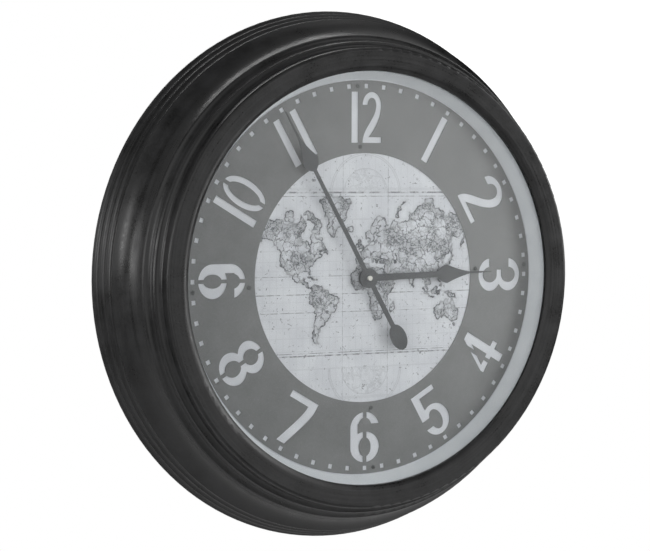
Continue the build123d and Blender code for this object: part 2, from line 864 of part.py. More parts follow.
# Minute hand with a paddle as counterweight
tail_length = tail_end - tail_neck
with BuildPart() as minute_hand:
    with BuildSketch(hand_plane(minute_hand_back, minute_hand_angle)):
        with BuildLine():
            spade_half(
                minute_shaft_root, minute_shaft_end, minute_spade_length, minute_needle_length, minute_tip
            )
            mirror(about=Plane.YZ)
        make_face()
        with Locations((0, -tail_end / 2)):
            Rectangle(minute_shaft_root, tail_end)
        with Locations((0, tail_length / 2 - tail_end)):
            Ellipse(tail_width / 2, tail_length / 2)
        Circle(hand_hub_radius)
    extrude(amount=hand_thickness)
    rod(minute_boss_back, minute_hand_back, hand_boss_radius)
    rod(minute_hand_front, nut_back, hub_collar_radius)
    rod(minute_boss_back, nut_back, minute_thread_radius, mode=Mode.SUBTRACT)
minute_hand.part.label = "minute_hand"
export_step(minute_hand.part, "parts/minute_hand.step")

# Bright domed cap nut on the minute shaft
with BuildPart() as hand_nut:
    rod(nut_back, nut_back + nut_height, nut_radius)
    fillet(hand_nut.faces().sort_by(Axis.Y)[0].edges(), radius=nut_dome)
    rod(nut_back, nut_back + minute_thread_length, minute_thread_radius, mode=Mode.SUBTRACT)
hand_nut.part.label = "hand_nut"
export_step(hand_nut.part, "parts/hand_nut.step")

# Front half of the movement's housing, with the bush, the cell bay, plate posts and pivot holes
post_places = [
    (side * (train_half - plate_post_radius), z)
    for side in (-1, 1)
    for z in (train_bottom + plate_post_radius, train_top - plate_post_radius)
]
housing_middle = (housing_top + housing_bottom) / 2
train_middle = (train_top + train_bottom) / 2
train_height = train_top - train_bottom
bay_middle = (bay_top + bay_bottom) / 2
with BuildPart() as movement_base:
    with BuildSketch(face_plane(cover_inner, 0, housing_middle)):
        RectangleRounded(movement_width, movement_height, housing_corner)
    extrude(amount=base_front - cover_inner)
    with BuildSketch(face_plane(cover_inner)):
        with Locations((0, train_middle)):
            Rectangle(2 * train_half, train_height)
        with Locations((0, bay_middle)):
            Rectangle(2 * train_half, bay_height)
    extrude(amount=floor_inner - cover_inner, mode=Mode.SUBTRACT)
    for post in post_places:
        rod(plate_back + plate_thickness, floor_inner, plate_post_radius, *post)
    rod(base_front, bush_front, bush_radius)
    rod(floor_inner, bush_front, bush_bore, mode=Mode.SUBTRACT)
    for place in (third_place, rotor_place, minute_place):
        rod(floor_inner, floor_inner + pivot_depth + end_shake, pivot_radius + running_clearance, *place,
            mode=Mode.SUBTRACT)
movement_base.part.label = "movement_base"
export_step(movement_base.part, "parts/movement_base.step")

# Rear half of the housing, open over the cell
with BuildPart() as movement_cover:
    with BuildSketch(face_plane(cover_back, 0, housing_middle)):
        RectangleRounded(movement_width, movement_height, housing_corner)
        with Locations((0, bay_middle - housing_middle)):
            Rectangle(2 * train_half, bay_height, mode=Mode.SUBTRACT)
    extrude(amount=cover_thickness)
    rod(cover_back, cover_inner, knob_arbor_radius + running_clearance, *minute_place, mode=Mode.SUBTRACT)
    for place in (centre_place, third_place, step_place, rotor_place):
        rod(cover_inner - pivot_depth - end_shake, cover_inner, pivot_radius + running_clearance, *place,
            mode=Mode.SUBTRACT)
movement_cover.part.label = "movement_cover"
export_step(movement_cover.part, "parts/movement_cover.step")

# Bearing plate across the middle of the train
centre_boss_radius = 2 * arbor_radius
with BuildPart() as train_plate:
    with BuildSketch(face_plane(plate_back, 0, train_middle)):
        Rectangle(2 * (train_half - plate_margin), train_height - 2 * plate_margin)
    extrude(amount=plate_thickness)
    for place, hole in (
        (centre_place, centre_boss_radius + running_clearance),
        (third_place, arbor_radius + arbor_hole_slack),
        (step_place, pivot_radius + running_clearance),
        (rotor_place, arbor_radius + arbor_hole_slack),
        (minute_place, knob_arbor_radius + arbor_hole_slack),
    ):
        rod(plate_back, plate_back + plate_thickness, hole, *place, mode=Mode.SUBTRACT)
train_plate.part.label = "train_plate"
export_step(train_plate.part, "parts/train_plate.step")

# Hour wheel and its pipe, which carries the hour hand
with BuildPart() as hour_wheel:
    gear(hour_level, hour_level + wheel_thickness, hour_wheel_teeth, hour_module, hour_wheel_phase)
    rod(hour_level, pipe_front, pipe_radius)
    rod(hour_level, pipe_front, pipe_bore, mode=Mode.SUBTRACT)
hour_wheel.part.label = "hour_wheel"
export_step(hour_wheel.part, "parts/hour_wheel.step")

# Centre wheel, cannon pinion and minute shaft in one piece, bored from behind for the seconds arbor
with BuildPart() as centre_wheel:
    gear(centre_level, centre_level + wheel_thickness, centre_teeth, centre_module, 0)
    gear(centre_level, motion_level + wheel_thickness + pinion_overhang, cannon_teeth, motion_module, 0)
    rod(plate_back + end_shake, centre_level, centre_boss_radius)
    rod(centre_level, minute_boss_back, minute_shaft_radius)
    rod(minute_boss_back, nut_back + minute_thread_length, minute_thread_radius)
    rod(plate_back + end_shake, motion_level, arbor_radius + running_clearance, mode=Mode.SUBTRACT)
centre_wheel.part.label = "centre_wheel"
export_step(centre_wheel.part, "parts/centre_wheel.step")

# Third wheel and pinion
with BuildPart() as third_wheel:
    gear(third_level, third_level + wheel_thickness, third_teeth, third_module, 0, third_place)
    gear(
        centre_level - pinion_overhang,
        centre_level + wheel_thickness + pinion_overhang,
        third_pinion_teeth,
        centre_module,
        third_pinion_phase,
        third_place,
    )
    pivots(third_place, arbor_radius)
third_wheel.part.label = "third_wheel"
export_step(third_wheel.part, "parts/third_wheel.step")

# Seconds wheel and pinion, turning in the end of the centre wheel
with BuildPart() as seconds_wheel:
    gear(seconds_level, seconds_level + wheel_thickness, seconds_teeth, seconds_module, 0)
    gear(
        third_level - pinion_overhang,
        third_level + wheel_thickness + pinion_overhang,
        seconds_pinion_teeth,
        third_module,
        seconds_pinion_phase,
    )
    rod(cover_inner + end_shake, motion_level - end_shake, arbor_radius)
    rod(cover_inner - pivot_depth, cover_inner + end_shake, pivot_radius)
seconds_wheel.part.label = "seconds_wheel"
export_step(seconds_wheel.part, "parts/seconds_wheel.step")

# Step wheel and pinion, between the cover and the plate
with BuildPart() as step_wheel:
    gear(step_level, step_level + wheel_thickness, step_teeth, step_module, 0, step_place)
    gear(
        seconds_level - pinion_overhang,
        seconds_level + wheel_thickness + pinion_overhang,
        step_pinion_teeth,
        seconds_module,
        step_pinion_phase,
        step_place,
    )
    rod(cover_inner + end_shake, plate_back - end_shake, arbor_radius, *step_place)
    rod(cover_inner - pivot_depth, plate_back + plate_thickness, pivot_radius, *step_place)
step_wheel.part.label = "step_wheel"
export_step(step_wheel.part, "parts/step_wheel.step")

# Rotor: a magnet in the stator and a pinion at the step wheel
stator_middle = motion_level + stator_thickness / 2
with BuildPart() as rotor:
    gear(
        step_level - pinion_overhang,
        step_level + wheel_thickness + pinion_overhang,
        rotor_pinion_teeth,
        step_module,
        rotor_pinion_phase,
        rotor_place,
    )
    rod(stator_middle - magnet_height / 2, stator_middle + magnet_height / 2, magnet_radius, *rotor_place)
    pivots(rotor_place, arbor_radius)
rotor.part.label = "rotor"
export_step(rotor.part, "parts/rotor.step")

# Minute wheel and pinion, with a long arbor to the back
with BuildPart() as minute_wheel:
    gear(
        motion_level,
        motion_level + wheel_thickness,
        minute_wheel_teeth,
        motion_module,
        minute_wheel_phase,
        minute_place,
    )
    gear(
        hour_level - pinion_overhang,
        hour_level + wheel_thickness + pinion_overhang,
        minute_pinion_teeth,
        hour_module,
        0,
        minute_place,
    )
    rod(cover_back - knob_gap - knob_thickness, floor_inner - end_shake, knob_arbor_radius, *minute_place)
    rod(floor_inner - end_shake, floor_inner + pivot_depth, pivot_radius, *minute_place)
minute_wheel.part.label = "minute_wheel"
export_step(minute_wheel.part, "parts/minute_wheel.step")

# Fluted thumb knob that sets the hands
with BuildPart() as setting_knob:
    with BuildSketch(face_plane(cover_back - knob_gap - knob_thickness, *minute_place)):
        Circle(knob_radius)
        Circle(knob_arbor_radius, mode=Mode.SUBTRACT)
        with PolarLocations(knob_radius, knob_flutes):
            Circle(knob_flute_radius, mode=Mode.SUBTRACT)
    extrude(amount=knob_thickness)
setting_knob.part.label = "setting_knob"
export_step(setting_knob.part, "parts/setting_knob.step")

# Stator: a loop of steel with the rotor's hole at one end and the coil's core along its lower side
head_left = rotor_place[0] - stator_head / 2
loop_left = head_left - stator_reach
core_z = rotor_place[1] - coil_drop
coil_end = head_left - coil_setback
coil_start = coil_end - coil_length
with BuildPart() as stator:
    with BuildSketch(face_plane(motion_level)):
        with Locations(rotor_place):
            Rectangle(stator_head, stator_head)
        with Locations(((loop_left + rotor_place[0]) / 2, rotor_place[1])):
            Rectangle(rotor_place[0] - loop_left, stator_arm)
        with Locations(((loop_left + rotor_place[0]) / 2, core_z)):
            Rectangle(rotor_place[0] - loop_left, stator_core)
        with Locations((loop_left + stator_arm / 2, (rotor_place[1] + core_z) / 2)):
            Rectangle(stator_arm, coil_drop)
        with Locations(rotor_place):
            Circle(magnet_radius + stator_gap, mode=Mode.SUBTRACT)
    extrude(amount=stator_thickness)
stator.part.label = "stator"
export_step(stator.part, "parts/stator.step")

# Bobbin on the core, and its winding
core_plane = Plane(origin=(coil_start, -stator_middle, core_z), x_dir=(0, 0, 1), z_dir=(1, 0, 0))
with BuildPart() as coil_bobbin:
    with BuildSketch(core_plane):
        Circle(bobbin_radius)
    extrude(amount=coil_length)
    with BuildSketch(core_plane.offset(bobbin_flange)):
        Circle(bobbin_radius)
        Circle(hypot(stator_core, stator_thickness) / 2 + bobbin_wall, mode=Mode.SUBTRACT)
    extrude(amount=coil_length - 2 * bobbin_flange, mode=Mode.SUBTRACT)
    with BuildSketch(core_plane):
        Rectangle(stator_core, stator_thickness)
    extrude(amount=coil_length, mode=Mode.SUBTRACT)
coil_bobbin.part.label = "coil_bobbin"
export_step(coil_bobbin.part, "parts/coil_bobbin.step")

with BuildPart() as coil_winding:
    with BuildSketch(core_plane.offset(bobbin_flange)):
        Circle(winding_radius)
        Circle(hypot(stator_core, stator_thickness) / 2 + bobbin_wall, mode=Mode.SUBTRACT)
    extrude(amount=coil_length - 2 * bobbin_flange)
coil_winding.part.label = "coil_winding"
export_step(coil_winding.part, "parts/coil_winding.step")

# Circuit board behind the plate, round the knob's arbor, and its crystal
circuit_left = circuit_margin - train_half
with BuildPart() as circuit_board:
    with BuildSketch(face_plane(plate_back - circuit_thickness)):
        with Locations((circuit_left + circuit_width / 2, minute_place[1])):
            Rectangle(circuit_width, circuit_height)
        with Locations(minute_place):
            Circle(knob_arbor_radius + arbor_hole_slack, mode=Mode.SUBTRACT)
    extrude(amount=circuit_thickness)
circuit_board.part.label = "circuit_board"
export_step(circuit_board.part, "parts/circuit_board.step")

crystal_plane = Plane(
    origin=(
        circuit_left + crystal_inset,
        crystal_radius - plate_back + circuit_thickness,
        minute_place[1] - circuit_height / 2 + crystal_inset,
    ),
    x_dir=(0, 0, 1),
    z_dir=(1, 0, 0),
)
with BuildPart() as quartz_crystal:
    with BuildSketch(crystal_plane):
        Circle(crystal_radius)
    extrude(amount=crystal_length)
quartz_crystal.part.label = "quartz_crystal"
export_step(quartz_crystal.part, "parts/quartz_crystal.step")

# One round cell in its open bay, and the spring strips at its ends
cell_height = floor_inner - cell_floor_gap - cell_radius
cell_plane = Plane(origin=(-cell_length / 2, -cell_height, bay_middle), x_dir=(0, 0, 1), z_dir=(1, 0, 0))
with BuildPart() as battery:
    with BuildSketch(cell_plane):
        Circle(cell_radius)
    extrude(amount=cell_length - cell_nub)
    with BuildSketch(cell_plane):
        Circle(cell_nub_radius)
    extrude(amount=cell_length)
battery.part.label = "battery"
export_step(battery.part, "parts/battery.step")

with BuildPart() as battery_contacts:
    for side in (-1, 1):
        with BuildSketch(Plane(origin=(side * train_half, 0, 0), x_dir=(0, 0, 1), z_dir=(-side, 0, 0))):
            with Locations((bay_middle, -side * (cell_height + floor_inner) / 2)):
                Rectangle(contact_width, floor_inner - cell_height)
            with Locations((bay_middle, -side * cell_height)):
                Circle(contact_width / 2)
        extrude(amount=contact_thickness)
        with BuildSketch(Plane(origin=(side * train_half, 0, 0), x_dir=(0, 0, 1), z_dir=(-side, 0, 0))):
            with Locations((bay_middle, -side * cell_height)):
                Circle(contact_pad_radius)
        extrude(amount=train_half - cell_length / 2)
battery_contacts.part.label = "battery_contacts"
export_step(battery_contacts.part, "parts/battery_contacts.step")

# Steel strap with a keyhole, and the two screws that hold it to its bosses
with BuildPart() as hanger_plate:
    with BuildSketch(face_plane(hanger_inset, 0, hanger_rise)):
        RectangleRounded(hanger_width, hanger_height, hanger_corner)
        with Locations((0, -keyhole_radius)):
            Circle(keyhole_radius, mode=Mode.SUBTRACT)
        with Locations((0, keyhole_travel / 2 - keyhole_radius)):
            Rectangle(keyhole_slot, keyhole_travel, mode=Mode.SUBTRACT)
        with Locations((0, keyhole_travel - keyhole_radius)):
            Circle(keyhole_slot / 2, mode=Mode.SUBTRACT)
        with Locations((-hanger_span / 2, 0), (hanger_span / 2, 0)):
            Circle(pilot_radius + screw_slack, mode=Mode.SUBTRACT)
    extrude(amount=hanger_thickness)
hanger_plate.part.label = "hanger_plate"
export_step(hanger_plate.part, "parts/hanger_plate.step")

with BuildPart() as hanger_screws:
    with BuildSketch(face_plane(hanger_inset - screw_head)):
        with Locations(*hanger_places):
            Circle(screw_head_radius)
    extrude(amount=screw_head)
    with BuildSketch(face_plane(hanger_inset)):
        with Locations(*hanger_places):
            Circle(pilot_radius)
    extrude(amount=pilot_depth)
hanger_screws.part.label = "hanger_screws"
export_step(hanger_screws.part, "parts/hanger_screws.step")
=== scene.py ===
import bpy
import numpy as np
from mathutils import Matrix, Vector


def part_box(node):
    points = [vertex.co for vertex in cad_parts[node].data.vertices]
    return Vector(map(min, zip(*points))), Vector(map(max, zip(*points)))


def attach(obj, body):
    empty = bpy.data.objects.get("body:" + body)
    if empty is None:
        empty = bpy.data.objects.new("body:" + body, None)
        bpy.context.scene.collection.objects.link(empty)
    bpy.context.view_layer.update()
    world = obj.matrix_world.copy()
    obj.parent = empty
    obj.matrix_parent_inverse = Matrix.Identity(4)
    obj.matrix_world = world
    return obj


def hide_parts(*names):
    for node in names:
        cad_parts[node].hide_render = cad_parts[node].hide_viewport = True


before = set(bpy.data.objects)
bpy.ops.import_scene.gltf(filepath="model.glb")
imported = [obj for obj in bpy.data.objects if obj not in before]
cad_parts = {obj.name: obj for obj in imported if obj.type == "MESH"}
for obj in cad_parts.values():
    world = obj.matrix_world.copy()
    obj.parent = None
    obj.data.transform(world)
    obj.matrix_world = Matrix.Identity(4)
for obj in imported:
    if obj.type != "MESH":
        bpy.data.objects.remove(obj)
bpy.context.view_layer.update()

# Case frame: one deep moulding in black plastic, with bosses and gussets on its hidden side.
# It is sprayed with satin lacquer, rubbed back by hand, and carries every other piece of the clock.


def linear(code):
    """Linear red, green, blue and alpha of an sRGB hex code.
    A channel c gives c / 12.92 when dark, else ((c + 0.055) / 1.055) ^ 2.4."""
    channel = np.array([int(code[k:k + 2], 16) for k in (1, 3, 5)]) / 255
    light = np.where(channel <= 0.04045, channel / 12.92, ((channel + 0.055) / 1.055) ** 2.4)
    return (*map(float, light), 1.0)


def add(owner, kind, sockets, **settings):
    """Adds one shader node with its settings to a material or a world. Its sockets, named in a dictionary
    or listed in order, each get a plain value or the output that feeds it."""
    made = owner.node_tree.nodes.new(kind)
    for name, value in settings.items():
        setattr(made, name, value)
    for socket, value in sockets.items() if isinstance(sockets, dict) else enumerate(sockets):
        if isinstance(value, bpy.types.NodeSocket):
            owner.node_tree.links.new(value, made.inputs[socket])
        else:
            made.inputs[socket].default_value = value
    return made


def finish_of(name, values):
    """New material with one Principled shader that has these plain values."""
    material = bpy.data.materials.new(name)
    material.use_nodes = True
    shader = material.node_tree.nodes["Principled BSDF"]
    for socket, value in values.items():
        shader.inputs[socket].default_value = value
    return material, shader


def feed(owner, node, outputs):
    """Links each output to the node's socket of that name."""
    for socket, output in outputs.items():
        owner.node_tree.links.new(output, node.inputs[socket])


def dress(material, *names):
    """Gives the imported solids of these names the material."""
    for name in names:
        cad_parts[name].data.materials.clear()
        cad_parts[name].data.materials.append(material)


# Satin lacquer mirrors softly. Rubbing leaves streaks round the moulding 2.2 mm wide, each about a tenth of
# a turn long, the spray clouds over 25 mm, and its fine orange peel is drawn 1.8 mm wide to show.
STREAK_WIDTH, STREAKS_PER_RADIUS = 0.0022, 1.6
CLOUD_WIDTH, PEEL_WIDTH, PEEL_DEPTH = 0.025, 0.0018, 0.0001
SPECK_SHARE = 0.35
lacquer, shader = finish_of("satin_lacquer_on_black_plastic", {"IOR": 1.5})
place = add(lacquer, "ShaderNodeTexCoord", {}).outputs["Object"]
flat = add(lacquer, "ShaderNodeVectorMath", (place, (1.0, 0.0, 1.0)), operation="MULTIPLY").outputs[0]
heading = add(lacquer, "ShaderNodeVectorMath", (flat,), operation="NORMALIZE").outputs[0]
radius = add(lacquer, "ShaderNodeVectorMath", (flat,), operation="LENGTH").outputs["Value"]
depth = add(lacquer, "ShaderNodeSeparateXYZ", (place,)).outputs["Y"]
across = add(lacquer, "ShaderNodeMath", (radius, depth), operation="SUBTRACT").outputs[0]
lift = add(lacquer, "ShaderNodeMath", (across, 1 / STREAK_WIDTH), operation="MULTIPLY").outputs[0]
around = (STREAKS_PER_RADIUS, 0.0, STREAKS_PER_RADIUS)
turned = add(lacquer, "ShaderNodeVectorMath", (heading, around), operation="MULTIPLY").outputs[0]
lane = add(lacquer, "ShaderNodeCombineXYZ", {"Y": lift}).outputs[0]
streak_place = add(lacquer, "ShaderNodeVectorMath", (turned, lane), operation="ADD").outputs[0]
streak = add(lacquer, "ShaderNodeTexNoise", {"Vector": streak_place, "Scale": 1.0, "Detail": 3.0}).outputs[0]
clouding = {"Vector": place, "Scale": 1 / CLOUD_WIDTH, "Detail": 4.0}
cloud = add(lacquer, "ShaderNodeTexNoise", clouding).outputs[0]
peeling = {"Vector": place, "Scale": 1 / PEEL_WIDTH, "Detail": 2.0}
peel = add(lacquer, "ShaderNodeTexNoise", peeling).outputs[0]
mottle = add(lacquer, "ShaderNodeMath", (streak, cloud), operation="MULTIPLY").outputs[0]
speck = add(lacquer, "ShaderNodeMath", (peel, SPECK_SHARE), operation="MULTIPLY").outputs[0]
mottle = add(lacquer, "ShaderNodeMath", (mottle, speck), operation="ADD").outputs[0]
share = add(lacquer, "ShaderNodeMapRange", (mottle, 0.28, 0.60)).outputs[0]
black, worn_black = linear("#090909"), linear("#252526")
colour = add(lacquer, "ShaderNodeMix", {0: share, 6: black, 7: worn_black}, data_type="RGBA").outputs[2]
gloss = add(lacquer, "ShaderNodeMapRange", (mottle, 0.28, 0.58, 0.26, 0.46)).outputs[0]
skin = add(lacquer, "ShaderNodeBump", {"Height": peel, "Strength": 0.4, "Distance": PEEL_DEPTH}).outputs[0]
feed(lacquer, shader, {"Base Color": colour, "Roughness": gloss, "Normal": skin})
dress(lacquer, "case_frame")

# Glass and its gasket: a disc of float glass 3 mm thick, cushioned by a black sponge rubber ring.
# The glass lies behind the bezel's lip, and the reflector ring presses it forward.
CLEAR = linear("#fbfcfc")
FILM_WIDTH = 0.06
glass, shader = finish_of("float_glass", {"Base Color": CLEAR, "IOR": 1.5, "Transmission Weight": 1.0})
place = add(glass, "ShaderNodeTexCoord", {}).outputs["Object"]
# Wiping leaves a faint film in patches about 60 mm across, which dulls the mirror image a little
film = add(glass, "ShaderNodeTexNoise", {"Vector": place, "Scale": 1 / FILM_WIDTH, "Detail": 5.0}).outputs[0]
haze = add(glass, "ShaderNodeMapRange", (film, 0.4, 0.7, 0.0, 0.05)).outputs[0]
feed(glass, shader, {"Roughness": haze})
# Lamps shine straight through the pane onto the dial
lamp_ray = add(glass, "ShaderNodeLightPath", {}).outputs["Is Shadow Ray"]
clear = add(glass, "ShaderNodeBsdfTransparent", {"Color": CLEAR}).outputs[0]
passing = add(glass, "ShaderNodeMixShader", (lamp_ray, shader.outputs[0], clear)).outputs[0]
feed(glass, glass.node_tree.nodes["Material Output"], {"Surface": passing})
dress(glass, "front_glass")


def grained(name, dark, pale, grain, rough, relief, values):
    """Material with one grain. Noise of this width in metres moves its roughness and relief, and with a
    slow drift about 17 times as wide it moves its colour between the dark and the pale one."""
    drift_share = 0.06
    material, shader = finish_of(name, values)
    place = add(material, "ShaderNodeTexCoord", {}).outputs["Object"]
    fine, slow = 1 / grain, drift_share / grain
    grit = add(material, "ShaderNodeTexNoise", {"Vector": place, "Scale": fine, "Detail": 5.0}).outputs[0]
    drift = add(material, "ShaderNodeTexNoise", {"Vector": place, "Scale": slow, "Detail": 2.0}).outputs[0]
    both = add(material, "ShaderNodeMath", (grit, drift), operation="ADD").outputs[0]
    share = add(material, "ShaderNodeMapRange", (both, 0.7, 1.3)).outputs[0]
    ends = {0: share, 6: linear(dark), 7: linear(pale)}
    colour = add(material, "ShaderNodeMix", ends, data_type="RGBA").outputs[2]
    gloss = add(material, "ShaderNodeMapRange", (grit, 0.3, 0.7, *rough)).outputs[0]
    skin = add(material, "ShaderNodeBump", {"Height": grit, "Strength": 0.3, "Distance": relief}).outputs[0]
    feed(material, shader, {"Base Color": colour, "Roughness": gloss, "Normal": skin})
    return material


# Open pores 0.6 mm wide leave sponge rubber dull and nearly black
rubber = grained("black_sponge_rubber", "#151515", "#242424", 0.0006, (0.75, 0.95), 0.0001, {})
dress(rubber, "glass_gasket", "rubber_washer")

# Reflector ring: pale grey styrene moulded as a cone between the dial and the glass.
# It keeps the glass off the dial, and its foot stands on the printed sheet.
# An etched mould leaves it matt and even, so that it scatters light onto the edge of the dial
styrene = grained("pale_grey_styrene", "#d9dde1", "#e4e7ea", 0.0015, (0.6, 0.75), 0.00003, {"IOR": 1.55})
dress(styrene, "reflector_ring")

# Dial board: hardboard pressed from brown wood fibre, 4 mm thick, screwed to the frame's bosses.
# Its back keeps the imprint of the wire screen that it was pressed on.
FIBRE_WIDTH, WEAVE_WIDTH, WEAVE_SHARE = 0.002, 0.004, 0.06
hardboard, shader = finish_of("brown_hardboard", {"Roughness": 0.85})
place = add(hardboard, "ShaderNodeTexCoord", {}).outputs["Object"]
# Fibres 1 mm wide and the screen's 2 mm weave make it mottled and dull, both drawn twice as coarse to show
strands = {"Vector": place, "Scale": 1 / FIBRE_WIDTH, "Detail": 6.0, "Distortion": 1.5}
fibre = add(hardboard, "ShaderNodeTexNoise", strands).outputs[0]
per_metre = (2 * np.pi / WEAVE_WIDTH,) * 3
turns = add(hardboard, "ShaderNodeVectorMath", (place, per_metre), operation="MULTIPLY").outputs[0]
waves = add(hardboard, "ShaderNodeVectorMath", (turns,), operation="SINE").outputs[0]
waves = add(hardboard, "ShaderNodeSeparateXYZ", (waves,)).outputs
weave = add(hardboard, "ShaderNodeMath", (waves["X"], waves["Z"]), operation="MULTIPLY").outputs[0]
worked = add(hardboard, "ShaderNodeMath", (weave, WEAVE_SHARE, fibre), operation="MULTIPLY_ADD").outputs[0]
share = add(hardboard, "ShaderNodeMapRange", (worked, 0.28, 0.72)).outputs[0]
ends = {0: share, 6: linear("#5d4329"), 7: linear("#96744a")}
colour = add(hardboard, "ShaderNodeMix", ends, data_type="RGBA").outputs[2]
skin = add(hardboard, "ShaderNodeBump", {"Height": worked, "Strength": 0.5, "Distance": 0.0003}).outputs[0]
feed(hardboard, shader, {"Base Color": colour, "Normal": skin})
dress(hardboard, "dial_board")

# Printed sheet: pale grey paper glued to the board, printed with an old-style map of the world.
# The bare paper shows through the cut numerals, and the map through the middle of the ring.
MAP_EDGE = 0.1388
DEGREE = 0.83e-3
HUB_LONGITUDE = 5.0
EQUATOR_HEIGHT = -0.017


def on_sheet(longitude, latitude):
    """Place of a point of the world on the sheet, by Mercator: x runs along the parallel, and
    z = R ln tan(45 + latitude / 2)."""
    reach = np.degrees(DEGREE)
    x = (np.asarray(longitude) - HUB_LONGITUDE) * DEGREE
    z = reach * np.log(np.tan(np.pi / 4 + np.radians(latitude) / 2)) + EQUATOR_HEIGHT
    return np.stack([x, z], -1)


